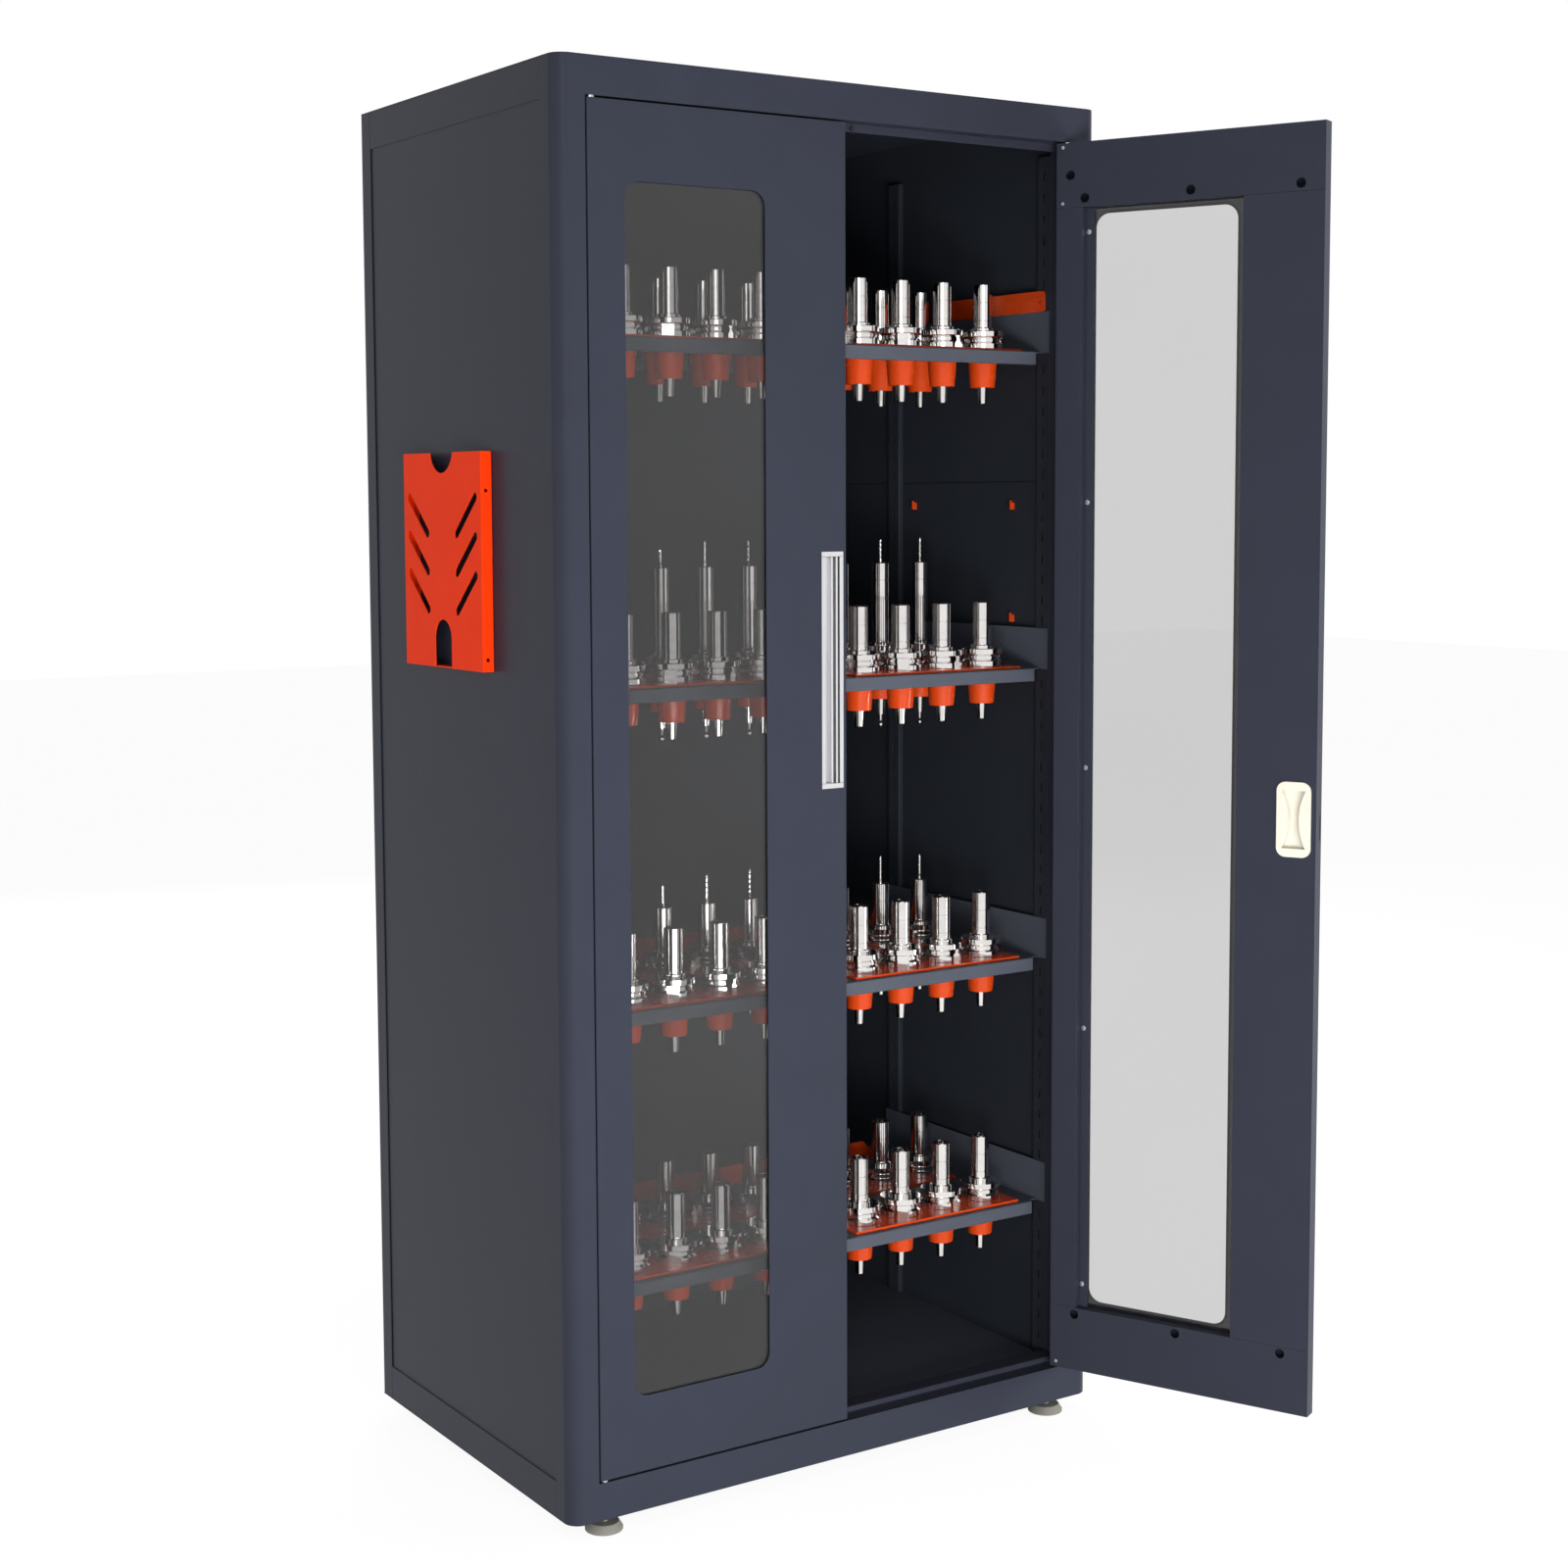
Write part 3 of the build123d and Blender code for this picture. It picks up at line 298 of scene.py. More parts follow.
TOOL_CHROME = Finish(
    "tool_chrome", "tool_chrome", (0.82, 0.79, 0.77), shade=0.9, roughness=0.09, roughness_play=0.03,
    metallic=1.0, mottle_scale=40.0,
)
LOCK_CHROME = Finish(
    "lock_chrome", "lock_chrome", (0.82, 0.82, 0.82), shade=0.9, roughness=0.12,
    roughness_play=0.04, metallic=1.0, mottle_scale=90.0,
)
GLASS = Glazing("door_glass", "clear_glass", (0.62, 0.62, 0.62))


def deselect() -> None:
    """Clears the selection in object mode."""
    if bpy.context.object and bpy.context.object.mode != "OBJECT":
        bpy.ops.object.mode_set(mode="OBJECT")
    bpy.ops.object.select_all(action="DESELECT")


def choose(piece: bpy.types.Object) -> None:
    """Makes one object the only selected and active one."""
    deselect()
    piece.select_set(True)
    bpy.context.view_layer.objects.active = piece


def place_in_mesh(piece: bpy.types.Object) -> None:
    """Moves an object's place, turn and scale into its mesh."""
    choose(piece)
    bpy.ops.object.transform_apply(location=True, rotation=True, scale=True)


def apply_modifiers(piece: bpy.types.Object) -> None:
    """Applies all modifiers of a piece, in order."""
    choose(piece)
    for modifier in list(piece.modifiers):
        bpy.ops.object.modifier_apply(modifier=modifier.name)


def merge(pieces: list[bpy.types.Object], name: str) -> bpy.types.Object:
    """Joins several pieces into one.

    Args:
        pieces: the pieces, which become one mesh.
        name: the name of the result.

    Returns:
        The joined piece.
    """
    deselect()
    for piece in pieces:
        piece.select_set(True)
    bpy.context.view_layer.objects.active = pieces[0]
    if len(pieces) > 1:
        bpy.ops.object.join()
    joined = bpy.context.object
    joined.name = name
    return joined


class Dresser:
    """Gives finishes to nodes and pieces, and reports them."""

    def __init__(self) -> None:
        """Starts with no material made."""
        self._made: dict[str, bpy.types.Material] = {}

    def material(self, finish: Finish | Glazing) -> bpy.types.Material:
        """Gives a finish's material, made the first time it is asked for.

        Args:
            finish: the finish.

        Returns:
            Its material.
        """
        if finish.name not in self._made:
            self._made[finish.name] = finish.build()
        return self._made[finish.name]

    def paint(self, piece: bpy.types.Object, finish: Finish | Glazing) -> None:
        """Puts one finish all over a piece.

        Args:
            piece: the object to paint.
            finish: its finish.
        """
        piece.data.materials.clear()
        piece.data.materials.append(self.material(finish))

    def settle(self, piece: bpy.types.Object, body: str, finish: Finish | Glazing, *nodes: str) -> None:
        """Paints a new piece and lets it ride on its body in place of CAD nodes.

        Args:
            piece: the new piece.
            body: the CAD body that it moves with.
            finish: its finish.
            nodes: the CAD nodes that it stands for.
        """
        self.paint(piece, finish)
        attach(piece, body)
        if nodes:
            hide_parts(*nodes)
        LOG.info("%s on %s: %d faces", piece.name, body, len(piece.data.polygons))


@dataclass
class SheetWork:
    """Folded and pressed sheet pieces, as copies of their nodes with the small round that a press leaves."""

    dresser: Dresser
    edge_round: float = 0.6 * MILLIMETRE
    fold_angle: float = math.radians(35)
    smooth_angle: float = math.radians(40)
    flat_angle: float = math.radians(0.5)
    merge_gap: float = 0.00001

    def soften(self, node: str, finish: Finish, body: str,
               edge_round: float | None = None) -> bpy.types.Object:
        """Copies a node, merges its loose triangles and rounds its edges.

        Args:
            node: the CAD node.
            finish: the finish of the copy.
            body: the CAD body that it rides on.
            edge_round: the width of the round, or None for the usual one.

        Returns:
            The rounded copy, which stands for the node.
        """
        source = frame["nodes"][node]
        choose(source)
        bpy.ops.object.duplicate()
        piece = bpy.context.object
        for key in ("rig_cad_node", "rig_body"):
            if key in piece:
                del piece[key]
        piece.parent = None
        piece.matrix_world = Matrix.Identity(4)
        piece.name = f"{node}_sheet"
        choose(piece)
        bpy.ops.object.mode_set(mode="EDIT")
        bpy.ops.mesh.select_all(action="SELECT")
        bpy.ops.mesh.remove_doubles(threshold=self.merge_gap)
        bpy.ops.mesh.dissolve_limited(angle_limit=self.flat_angle)
        bpy.ops.object.mode_set(mode="OBJECT")
        bevel = piece.modifiers.new("edge_round", "BEVEL")
        bevel.width = edge_round or self.edge_round
        bevel.segments = 2
        bevel.limit_method = "ANGLE"
        bevel.angle_limit = self.fold_angle
        apply_modifiers(piece)
        choose(piece)
        bpy.ops.object.shade_smooth_by_angle(angle=self.smooth_angle)
        level = piece.modifiers.new("flat_faces", "WEIGHTED_NORMAL")
        level.weight = 100
        level.keep_sharp = True
        apply_modifiers(piece)
        self.dresser.settle(piece, body, finish, node)
        return piece


@dataclass
class ToolHolder:
    """One chrome tool holder: taper and stud below its flange, stepped nose above."""

    top: float
    knob: bool = False
    drill: float = 0.0
    gauge_radius: float = 17.9
    taper_length: float = 50.0
    taper_slope: float = 7 / 48
    stud_radius: float = 7.2
    stud_end_radius: float = 6.0
    stud_length: float = 24.0
    knob_radius: float = 4.9
    knob_drop: float = 14.0
    flange_radius: float = 28.5
    flange_ring: float = 8.0
    flange_height: float = 25.0
    groove_radius: float = 25.5
    collar_radius: float = 15.5
    collar_height: float = 5.0
    nose_radius: float = 12.5
    ring_spacing: float = 25.0
    ring_width: float = 1.6
    ring_groove: float = 0.7
    bore_radius: float = 8.5
    bore_depth: float = 10.0
    drill_radius: float = 2.4
    drill_play: float = 0.2
    drill_lift: float = 0.2
    drill_sides: int = 10
    flute_row: float = 2.5
    fewest_rows: int = 6
    flute_start: float = 3.0
    flute_twist: float = 2.2
    flute_depth: float = 0.32
    point_length: float = 0.5
    point_share: float = 0.15
    stud_step: float = 0.5
    blunt: float = 1.0
    end_chamfer: float = 0.8
    rim_chamfer: float = 0.6
    gauge_land: float = 0.4
    seat_lift: float = 0.05
    groove_slope: float = 2.4
    nose_step: float = 0.3
    nose_chamfer: float = 1.2
    ring_slope: float = 0.3
    knob_neck: float = 3.0
    knob_neck_low: float = 5.5
    knob_neck_gap: float = 0.4
    notch_place: float = 30.0
    notch_size: float = 16.0
    notch_margin: float = 1.0
    smooth_angle: float = math.radians(28)
    merge_gap: float = 0.000005
    turns: int = 28

    def outline(self) -> list[tuple[float, float]]:
        """Gives the turned outline.

        Returns:
            Points as radius and height in millimetres, from the lowest point to the floor of the bore.
        """
        stud_end = -self.taper_length - self.stud_length
        taper_end = self.gauge_radius - self.taper_length * self.taper_slope
        low = [(0.0, stud_end), (self.stud_end_radius - self.blunt, stud_end),
               (self.stud_end_radius, stud_end + self.blunt)]
        if self.knob:
            low = self._knob(stud_end)
        points = low + [
            (self.stud_radius, -self.taper_length - self.stud_step),
            (taper_end - self.end_chamfer, -self.taper_length),
            (taper_end, -self.taper_length + self.end_chamfer),
            (self.gauge_radius, -self.gauge_land), (self.gauge_radius, self.seat_lift),
        ]
        return points + self._flange() + self._rings() + self._mouth()

    def _flange(self) -> list[tuple[float, float]]:
        """Gives the grooved flange, the collar and the foot of the nose."""
        rim = self.flange_radius - self.rim_chamfer
        upper = self.flange_height - self.flange_ring
        collar_top = self.flange_height + self.collar_height
        return [
            (rim, self.seat_lift), (self.flange_radius, self.rim_chamfer),
            (self.flange_radius, self.flange_ring - self.rim_chamfer), (rim, self.flange_ring),
            (self.groove_radius, self.flange_ring + self.groove_slope),
            (self.groove_radius, upper - self.groove_slope),
            (rim, upper), (self.flange_radius, upper + self.rim_chamfer),
            (self.flange_radius, self.flange_height - self.end_chamfer),
            (self.flange_radius - self.end_chamfer, self.flange_height),
            (self.collar_radius, self.flange_height), (self.collar_radius, collar_top - self.blunt),
            (self.collar_radius - self.blunt, collar_top), (self.nose_radius, collar_top + self.nose_step),
        ]

    def _rings(self) -> list[tuple[float, float]]:
        """Gives the two ring grooves round the nose."""
        points = []
        edge = self.ring_width / 2
        floor = self.nose_radius - self.ring_groove
        for ring in (2, 1):
            middle = self.top - ring * self.ring_spacing
            points += [(self.nose_radius, middle - edge), (floor, middle - edge + self.ring_slope),
                       (floor, middle + edge - self.ring_slope), (self.nose_radius, middle + edge)]
        return points

    def _mouth(self) -> list[tuple[float, float]]:
        """Gives the end of the nose and its bore, down to the bore's floor."""
        bore = self.drill_radius + self.drill_play if self.drill else self.bore_radius
        return [
            (self.nose_radius, self.top - self.nose_chamfer),
            (self.nose_radius - self.nose_chamfer, self.top),
            (bore + self.rim_chamfer, self.top), (bore, self.top - self.rim_chamfer),
            (bore, self.top - self.bore_depth), (0.0, self.top - self.bore_depth),
        ]

    def _knob(self, stud_end: float) -> list[tuple[float, float]]:
        """Gives the ball-ended pull stud.

        Args:
            stud_end: the height where the stud ends.

        Returns:
            The points of its outline.
        """
        centre = stud_end - self.knob_drop
        arc = [math.radians(angle) for angle in range(-90, 46, 15)]
        ball = [(self.knob_radius * math.cos(a), centre + self.knob_radius * math.sin(a)) for a in arc]
        ball[0] = (0.0, ball[0][1])
        return ball + [(self.knob_neck, centre + self.knob_neck_low),
                       (self.knob_neck, stud_end - self.knob_neck_gap),
                       (self.stud_end_radius, stud_end)]

    def model(self, name: str) -> bpy.types.Object:
        """Turns the outline and cuts the drive notches.

        Args:
            name: the name of the piece.

        Returns:
            The holder, seated at the origin.
        """
        body = self._turned(self.outline(), name)
        notches = [self._notch(side) for side in (-1, 1)]
        for notch in notches:
            cut = body.modifiers.new("notch", "BOOLEAN")
            cut.object = notch
            cut.operation = "DIFFERENCE"
            cut.solver = "EXACT"
        apply_modifiers(body)
        for notch in notches:
            bpy.data.objects.remove(notch)
        pieces = [body]
        if self.drill:
            pieces.append(self._drill())
        whole = merge(pieces, name)
        choose(whole)
        bpy.ops.object.shade_smooth_by_angle(angle=self.smooth_angle)
        return whole

    def _turned(self, points: list[tuple[float, float]], name: str) -> bpy.types.Object:
        """Spins an outline about the vertical axis.

        Args:
            points: radius and height in millimetres.
            name: the name of the piece.

        Returns:
            The closed turned piece.
        """
        deselect()
        bpy.ops.mesh.primitive_plane_add(size=0.01)
        piece = bpy.context.object
        piece.name = name
        bpy.ops.object.mode_set(mode="EDIT")
        bpy.ops.mesh.select_all(action="SELECT")
        bpy.ops.mesh.delete(type="VERT")
        shape = bmesh.from_edit_mesh(piece.data)
        corners = [shape.verts.new((r * MILLIMETRE, 0.0, z * MILLIMETRE)) for r, z in points]
        for low, high in zip(corners, corners[1:]):
            shape.edges.new((low, high))
        bmesh.update_edit_mesh(piece.data)
        bpy.ops.mesh.select_all(action="SELECT")
        bpy.ops.mesh.spin(steps=self.turns, angle=2 * math.pi, center=(0, 0, 0), axis=(0, 0, 1))
        bpy.ops.mesh.select_all(action="SELECT")
        bpy.ops.mesh.remove_doubles(threshold=self.merge_gap)
        bpy.ops.mesh.normals_make_consistent(inside=False)
        bpy.ops.object.mode_set(mode="OBJECT")
        return piece

    def _notch(self, side: int) -> bpy.types.Object:
        """Makes the cutter of one drive notch.

        Args:
            side: -1 or 1, the side of the flange along X.

        Returns:
            The cutter.
        """
        deselect()
        depth = self.flange_height - self.flange_ring + self.notch_margin
        bpy.ops.mesh.primitive_cube_add(
            size=1,
            location=(side * self.notch_place * MILLIMETRE, 0, (depth / 2 - self.notch_margin) * MILLIMETRE),
            scale=(self.notch_size * MILLIMETRE, self.notch_size * MILLIMETRE, depth * MILLIMETRE))
        cutter = bpy.context.object
        place_in_mesh(cutter)
        return cutter

    def _drill(self) -> bpy.types.Object:
        """Makes the drill that stands in the bore, with its two flutes wound round it.

        Returns:
            The drill, above the floor of the bore.
        """
        deselect()
        foot = self.top - self.bore_depth + self.drill_lift
        length = self.bore_depth + self.drill
        bpy.ops.mesh.primitive_cylinder_add(
            vertices=self.drill_sides, radius=self.drill_radius * MILLIMETRE, depth=length * MILLIMETRE,
            location=(0, 0, (foot + length / 2) * MILLIMETRE))
        drill = bpy.context.object
        place_in_mesh(drill)
        bpy.ops.object.mode_set(mode="EDIT")
        bpy.ops.mesh.select_all(action="SELECT")
        rows = max(self.fewest_rows, int(length / self.flute_row))
        for row in range(1, rows):
            height = (foot + length * row / rows) * MILLIMETRE
            bpy.ops.mesh.select_all(action="SELECT")
            bpy.ops.mesh.bisect(plane_co=(0, 0, height), plane_no=(0, 0, 1))
        bpy.ops.object.mode_set(mode="OBJECT")
        self._wind(drill, foot, length)
        return drill

    def _wind(self, drill: bpy.types.Object, foot: float, length: float) -> None:
        """Sinks two spiral flutes into the drill and draws its end to a point.

        Args:
            drill: the plain drill.
            foot: its lowest height in millimetres.
            length: its length in millimetres.
        """
        shank = foot + self.bore_depth + self.flute_start
        end = foot + length
        for vertex in drill.data.vertices:
            height = vertex.co.z / MILLIMETRE
            if height < shank:
                continue
            angle = math.atan2(vertex.co.y, vertex.co.x) - (height - shank) / self.flute_twist
            factor = 1.0 - self.flute_depth * (0.5 + 0.5 * math.cos(2 * angle))
            if height > end - self.point_length:
                factor = self.point_share
            vertex.co.x *= factor
            vertex.co.y *= factor


@dataclass
class TrayLoad:
    """The tool holders of one tray, copied from a few patterns."""

    dresser: Dresser
    tray: str
    level: float
    back_top: float = 92.0
    knob: bool = False
    drills: tuple[float, ...] = ()
    seat: float = 3.0
    front_row: float = -160.0
    back_row: float = -17.0
    turn_step: float = math.radians(37)
    pitch: float = 70.0
    left_end: float = 15.0
    right_start: float = 30.0
    left_sockets: int = 5
    right_sockets: int = 4

    def columns(self) -> list[float]:
        """Gives the middles of the sockets, from left to right, in millimetres."""
        left = [self.left_end - self.pitch * n for n in reversed(range(self.left_sockets))]
        return left + [self.right_start + self.pitch * (n + 1) for n in range(self.right_sockets)]

    def build(self, pattern: bpy.types.Object) -> None:
        """Stands the holders in their sockets.

        Args:
            pattern: the plain holder, which the front row copies.
        """
        made = []
        for number, across in enumerate(self.columns()):
            made.append(self._copy(pattern, across, self.front_row, number))
        for number, across in enumerate(self.columns()):
            drill = self.drills[number] if self.drills else 0.0
            if self.drills or self.knob:
                holder = ToolHolder(self.back_top - self.seat, self.knob, drill).model("back_holder")
                self._stand(holder, across, self.back_row, number)
                made.append(holder)
            else:
                made.append(self._copy(pattern, across, self.back_row, number))
        whole = merge(made, f"chrome_tools_{self.tray}")
        self.dresser.settle(whole, CABINET_BODY, TOOL_CHROME, f"tool_holders_{self.tray}")

    def _copy(self, pattern: bpy.types.Object, across: float, row: float, number: int) -> bpy.types.Object:
        """Copies the pattern to one socket.

        Args:
            pattern: the holder to copy.
            across: the socket's place along X.
            row: its place along Y.
            number: its number in the row.

        Returns:
            The copy, with its own mesh.
        """
        choose(pattern)
        bpy.ops.object.duplicate()
        holder = bpy.context.object
        self._stand(holder, across, row, number)
        return holder

    def _stand(self, holder: bpy.types.Object, across: float, row: float, number: int) -> None:
        """Seats a holder in its socket, turned as loose tools are.

        Args:
            holder: the holder.
            across: the socket's place along X.
            row: its place along Y.
            number: its number in the row.
        """
        holder.rotation_euler = Euler((0, 0, self.turn_step * (number + row)))
        holder.location = (across * MILLIMETRE, row * MILLIMETRE, (self.level + self.seat) * MILLIMETRE)
        place_in_mesh(holder)


@dataclass
class Studio:
    """The floor, the backdrop, the lamps and the camera."""

    photo_size: float = 1600.0
    yaw: float = 33.1313
    pitch: float = 4.8904
    roll: float = -0.2693
    place: Vector = field(default_factory=lambda: Vector((-1.79184, -2.80910, 1.27543)))
    focal: float = 2473.83
    middle: tuple[float, float] = (772.92, 723.82)
    sensor: float = 36.0
    ambience: float = 0.3
    white: float = 1.0
    floor_size: float = 30.0
    floor_colour: Colour = (0.86, 0.86, 0.86)
    floor_glow: float = 1.12
    floor_share: float = 0.82
    view_depth: float = 60.0

    def build(self) -> None:
        """Sets up everything round the object."""
        bpy.context.scene.view_settings.view_transform = "Standard"
        self._world()
        self._floor()
        self._lamps()
        self._camera()

    def _seen(self, tree: bpy.types.NodeTree) -> bpy.types.NodeSocket:
        """Tells what the camera, gloss and glass show from what lights the object.

        Args:
            tree: the node tree that gets the nodes.

        Returns:
            The socket that is 1 for rays of the camera, of gloss and through glass.
        """
        path = tree.nodes.new("ShaderNodeLightPath")
        seen = path.outputs["Is Camera Ray"]
        for kind in ("Is Transmission Ray", "Is Glossy Ray"):
            either = tree.nodes.new("ShaderNodeMath")
            either.operation = "MAXIMUM"
            tree.links.new(seen, either.inputs[0])
            tree.links.new(path.outputs[kind], either.inputs[1])
            seen = either.outputs["Value"]
        return seen

    def _world(self) -> None:
        """Makes a dim, even world that the camera, gloss and glass show as white."""
        world = bpy.data.worlds.new("studio")
        bpy.context.scene.world = world
        world.use_nodes = True
        tree = world.node_tree
        background = tree.nodes["Background"]
        background.inputs["Color"].default_value = (1.0, 1.0, 1.0, 1.0)
        background.inputs["Strength"].default_value = self.ambience
        white = tree.nodes.new("ShaderNodeBackground")
        white.inputs["Color"].default_value = (1.0, 1.0, 1.0, 1.0)
        white.inputs["Strength"].default_value = self.white
        mixer = tree.nodes.new("ShaderNodeMixShader")
        tree.links.new(self._seen(tree), mixer.inputs["Fac"])
        tree.links.new(background.outputs["Background"], mixer.inputs[1])
        tree.links.new(white.outputs["Background"], mixer.inputs[2])
        tree.links.new(mixer.outputs["Shader"], tree.nodes["World Output"].inputs["Surface"])

    def _floor(self) -> None:
        """Makes the pale floor: mostly white glow where it is seen, with a faint shadow of the object."""
        deselect()
        bpy.ops.mesh.primitive_plane_add(size=self.floor_size, location=(0, 0, 0))
        floor = bpy.context.object
        floor.name = "studio_floor"
        material, tree, shader = shader_nodes("studio_white")
        shader.inputs["Base Color"].default_value = (*self.floor_colour, 1.0)
        shader.inputs["Roughness"].default_value = 0.9
        shader.inputs["Specular IOR Level"].default_value = 0.1
        glow = tree.nodes.new("ShaderNodeEmission")
        glow.inputs["Color"].default_value = (1.0, 1.0, 1.0, 1.0)
        glow.inputs["Strength"].default_value = self.white * self.floor_glow
        share = tree.nodes.new("ShaderNodeMath")
        share.operation = "MULTIPLY"
        share.inputs[1].default_value = self.floor_share
        tree.links.new(self._seen(tree), share.inputs[0])
        mixer = tree.nodes.new("ShaderNodeMixShader")
        tree.links.new(share.outputs["Value"], mixer.inputs["Fac"])
        tree.links.new(shader.outputs["BSDF"], mixer.inputs[1])
        tree.links.new(glow.outputs["Emission"], mixer.inputs[2])
        tree.links.new(mixer.outputs["Shader"], tree.nodes["Material Output"].inputs["Surface"])
        floor.data.materials.append(material)

    def _lamp(self, name: str, place: Vector, aim: Vector, size: tuple[float, float], power: float,
              mirrored: bool = True) -> None:
        """Adds one soft box.

        Args:
            name: the lamp's name.
            place: where it hangs.
            aim: the point that it faces.
            size: its width and height.
            power: its power in watts.
            mirrored: whether glossy rays show it.
        """
        deselect()
        bpy.ops.object.light_add(type="AREA", location=place)
        lamp = bpy.context.object
        lamp.name = name
        lamp.data.shape = "RECTANGLE"
        lamp.data.size = size[0]
        lamp.data.size_y = size[1]
        lamp.data.energy = power
        lamp.visible_glossy = mirrored
        lamp.visible_camera = False
        lamp.rotation_euler = (aim - place).to_track_quat("-Z", "Y").to_euler()

    def _lamps(self) -> None:
        """Hangs two low soft boxes and a high one in front, a strip on the left and a box behind."""
        self._lamp("low_right_box", Vector((2.7, -2.2, 0.4)), Vector((0.2, 0, 0.2)), (1.4, 0.7), 75, False)
        self._lamp("low_front_box", Vector((-0.9, -2.9, 0.35)), Vector((0, 0, 0.1)), (2.4, 0.6), 95, False)
        self._lamp("high_left_box", Vector((-2.2, -4.0, 2.4)), Vector((0.3, 0, 1.0)), (1.6, 1.6), 26)
        self._lamp("left_strip", Vector((-3.4, 0.5, 1.2)), Vector((0, 0, 1.0)), (0.16, 2.6), 6)
        self._lamp("rear_box", Vector((1.6, 4.2, 2.2)), Vector((0, 0, 0.9)), (2.0, 2.0), 75)

    def _camera(self) -> None:
        """Places the camera where the photograph was taken."""
        deselect()
        bpy.ops.object.camera_add(location=self.place)
        camera = bpy.context.object
        camera.name = "photo_camera"
        turn = Euler((math.radians(90 - self.pitch), 0.0, math.radians(-self.yaw)), "XYZ").to_matrix()
        camera.rotation_euler = (turn @ Matrix.Rotation(math.radians(self.roll), 3, "Z")).to_euler()
        camera.data.sensor_width = self.sensor
        camera.data.lens = self.focal / self.photo_size * self.sensor
        camera.data.shift_x = (self.photo_size / 2 - self.middle[0]) / self.photo_size
        camera.data.shift_y = (self.middle[1] - self.photo_size / 2) / self.photo_size
        camera.data.clip_end = self.view_depth
        bpy.context.scene.camera = camera


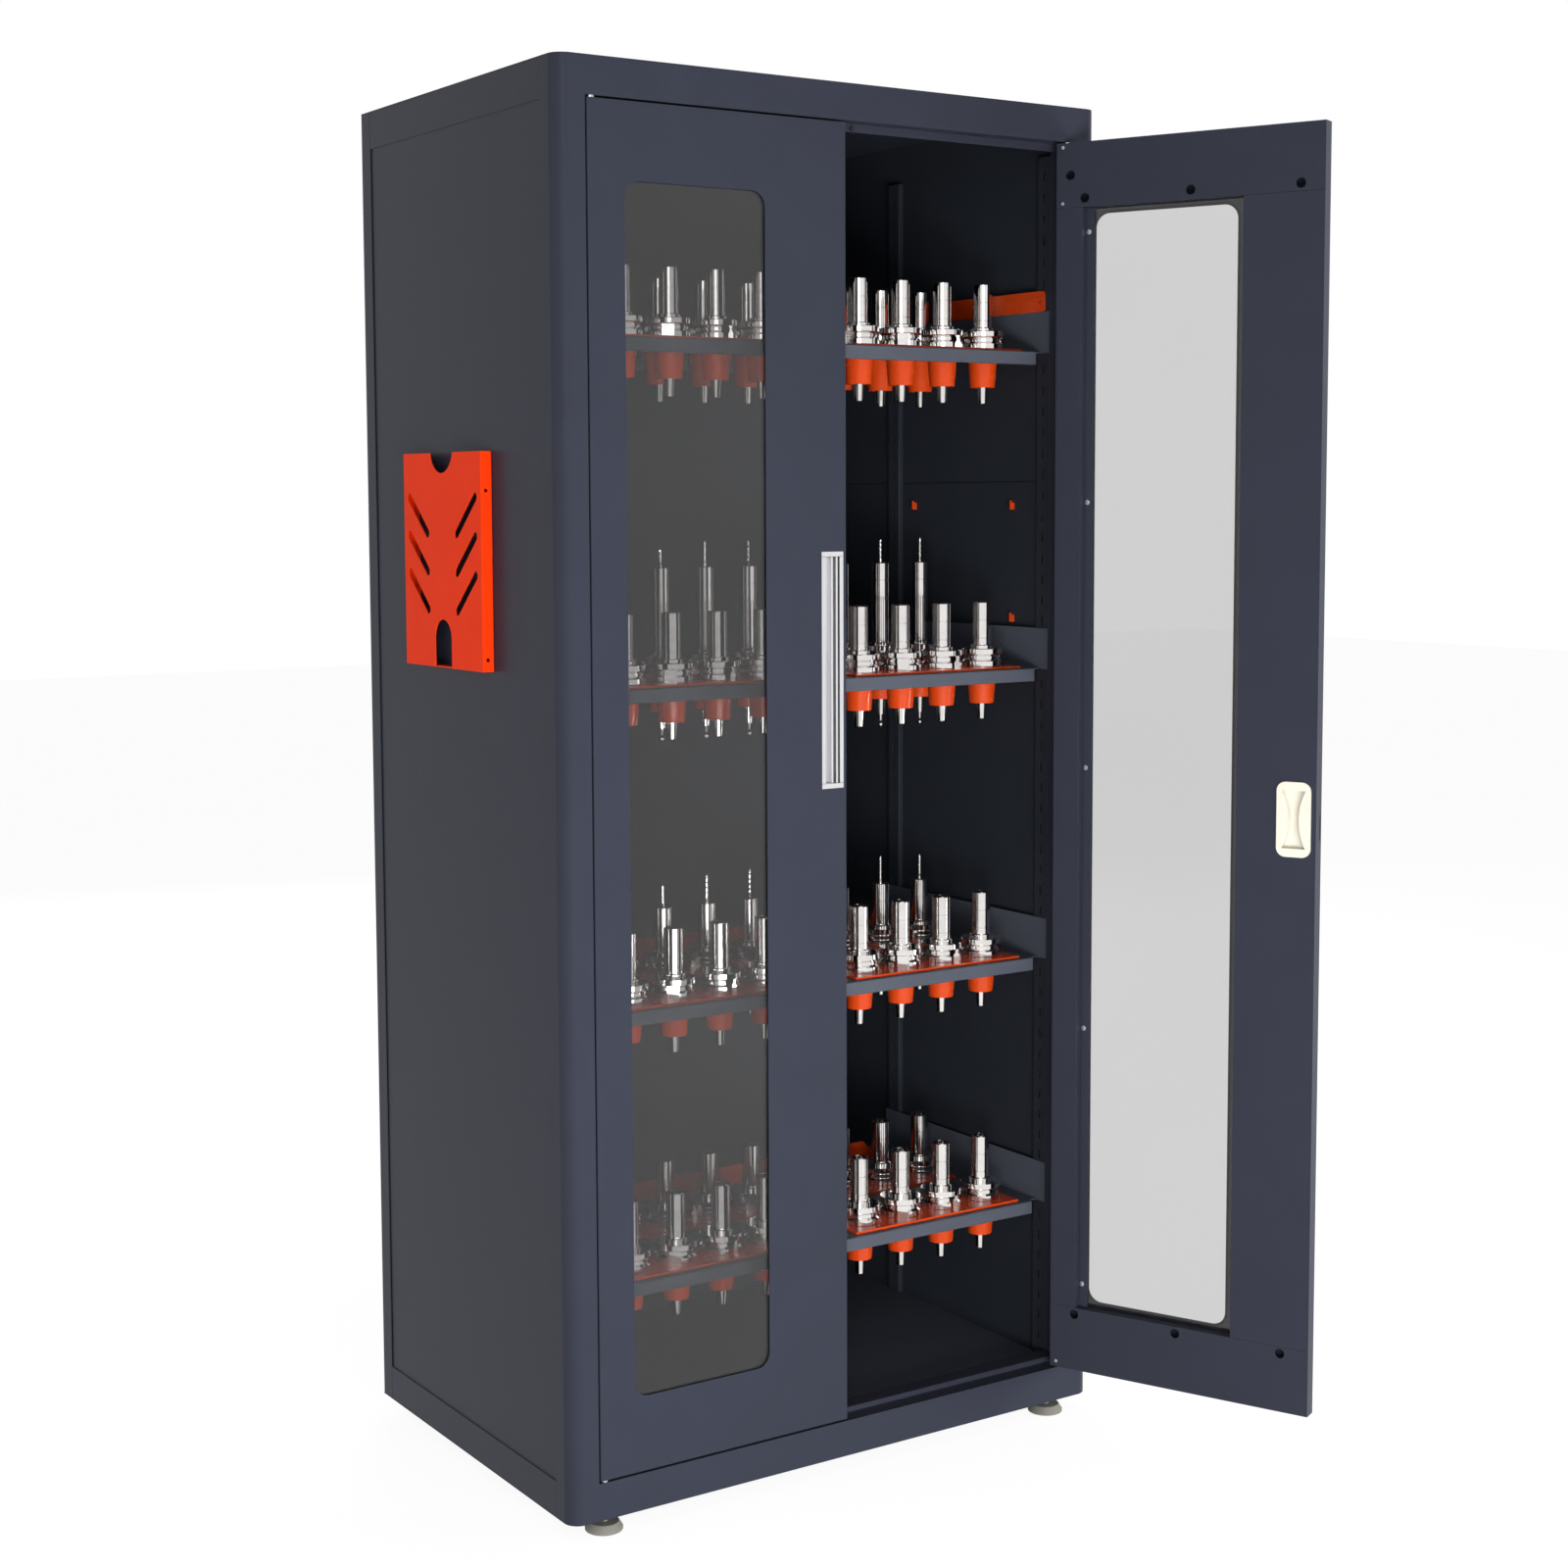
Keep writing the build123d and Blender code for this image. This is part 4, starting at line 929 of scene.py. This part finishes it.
@dataclass
class Cabinet:
    """The whole object: sheets, doors, trays, tools and fittings."""

    dresser: Dresser = field(default_factory=Dresser)
    frame_sheets: tuple[str, ...] = ("front_frame", "rear_post_left", "rear_post_right", "side_panel_left",
                                     "side_panel_right", "base_plate", "roof_panel")
    tray_names: tuple[str, ...] = ("top", "upper", "lower", "bottom")
    door_sheets: tuple[str, ...] = ("skin", "inner_rails", "inner_stiles", "clamp_strip")
    doors: tuple[str, ...] = ("left_door", "right_door")

    def build(self) -> None:
        """Builds and dresses every piece."""
        self._plain_nodes()
        self._sheets()
        self._fittings()
        self._tools()

    def finish_of(self, node: str) -> Finish | Glazing:
        """Chooses a node's finish by its name.

        Args:
            node: the CAD node.

        Returns:
            Its finish.
        """
        by_ending = {"glass": GLASS, "gasket": RUBBER, "door_handle": SATIN_ALUMINIUM, "screws": ZINC,
                     "bushes": ZINC, "pivot_pins": ZINC, "pivot_washers": ZINC, "foot_inserts": ZINC,
                     "lock_cam": ZINC, "lock_barrel": LOCK_CHROME, "lock_plug": LOCK_CHROME,
                     "lock_cover": CREAM_PLASTIC, "document_pocket": ORANGE_PAINT,
                     "back_bars": ORANGE_PLASTIC,
                     "side_bar": ORANGE_PLASTIC, "wall_hooks": ORANGE_PLASTIC, "door_bumpers": RUBBER}
        # The trays and floor pan take the lighter tone of the inner paint (painted light); the inner walls,
        # uprights and back panel take its darker tone (painted shade).
        by_start = {"foot_": FOOT_PLASTIC, "socket_strips": ORANGE_PLASTIC, "tool_holders": TOOL_CHROME,
                    "tray_": INNER_LIT_TONE, "inner_wall": INNER_SHADE_TONE, "uprights": INNER_SHADE_TONE,
                    "floor_pan": INNER_LIT_TONE, "back_panel": INNER_SHADE_TONE}
        for ending, finish in by_ending.items():
            if node.endswith(ending):
                return finish
        for start, finish in by_start.items():
            if node.startswith(start):
                return finish
        return SLATE_PAINT

    def _plain_nodes(self) -> None:
        """Paints every CAD node, so that none is left in its grey."""
        for name, node in frame["nodes"].items():
            self.dresser.paint(node, self.finish_of(name))

    def _sheets(self) -> None:
        """Rounds the edges of the sheet pieces of the carcass, the trays and the doors."""
        work = SheetWork(self.dresser)
        for node in self.frame_sheets:
            work.soften(node, SLATE_PAINT, CABINET_BODY)
        for name in self.tray_names:
            work.soften(f"tray_{name}", INNER_LIT_TONE, CABINET_BODY, 0.5 * MILLIMETRE)
        for door in self.doors:
            for sheet in self.door_sheets:
                work.soften(f"{door}_{sheet}", SLATE_PAINT, door)

    def _fittings(self) -> None:
        """Rounds the edges of the moulded, cast and folded fittings."""
        work = SheetWork(self.dresser)
        for name in self.tray_names:
            work.soften(f"socket_strips_{name}", ORANGE_PLASTIC, CABINET_BODY, 0.8 * MILLIMETRE)
        for node in ("back_bars", "side_bar", "wall_hooks", "document_pocket", "pocket_screws"):
            work.soften(node, self.finish_of(node), CABINET_BODY, 0.5 * MILLIMETRE)
        for door in self.doors:
            work.soften(f"{door}_handle", SATIN_ALUMINIUM, door, 0.35 * MILLIMETRE)
            work.soften(f"{door}_screws", ZINC, door, 0.4 * MILLIMETRE)
        work.soften("lock_cover", CREAM_PLASTIC, "right_door", 0.9 * MILLIMETRE)
        work.soften("lock_barrel", LOCK_CHROME, "right_door", 0.4 * MILLIMETRE)
        for corner in ("front_left", "front_right", "rear_left", "rear_right"):
            work.soften(f"foot_{corner}", FOOT_PLASTIC, f"foot_{corner}", 0.8 * MILLIMETRE)

    def _tools(self) -> None:
        """Fills the trays with tool holders."""
        pattern = ToolHolder(89.0).model("holder_pattern")
        loads = (
            TrayLoad(self.dresser, "top", level=1479.0),
            TrayLoad(self.dresser, "upper", level=1044.0, back_top=145.0, knob=True,
                     drills=(37, 35, 25, 35, 35, 0, 42, 35, 35)),
            TrayLoad(self.dresser, "lower", level=638.0, drills=(46, 29, 32, 40, 40, 44, 70, 40, 35)),
            TrayLoad(self.dresser, "bottom", level=290.0),
        )
        for load in loads:
            load.build(pattern)
        bpy.data.objects.remove(pattern)


def main() -> None:
    """Builds the cabinet and the studio."""
    logging.basicConfig(level=logging.INFO, format="%(name)s: %(message)s")
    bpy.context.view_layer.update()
    Cabinet().build()
    Studio().build()


if __name__ == "__main__":
    main()
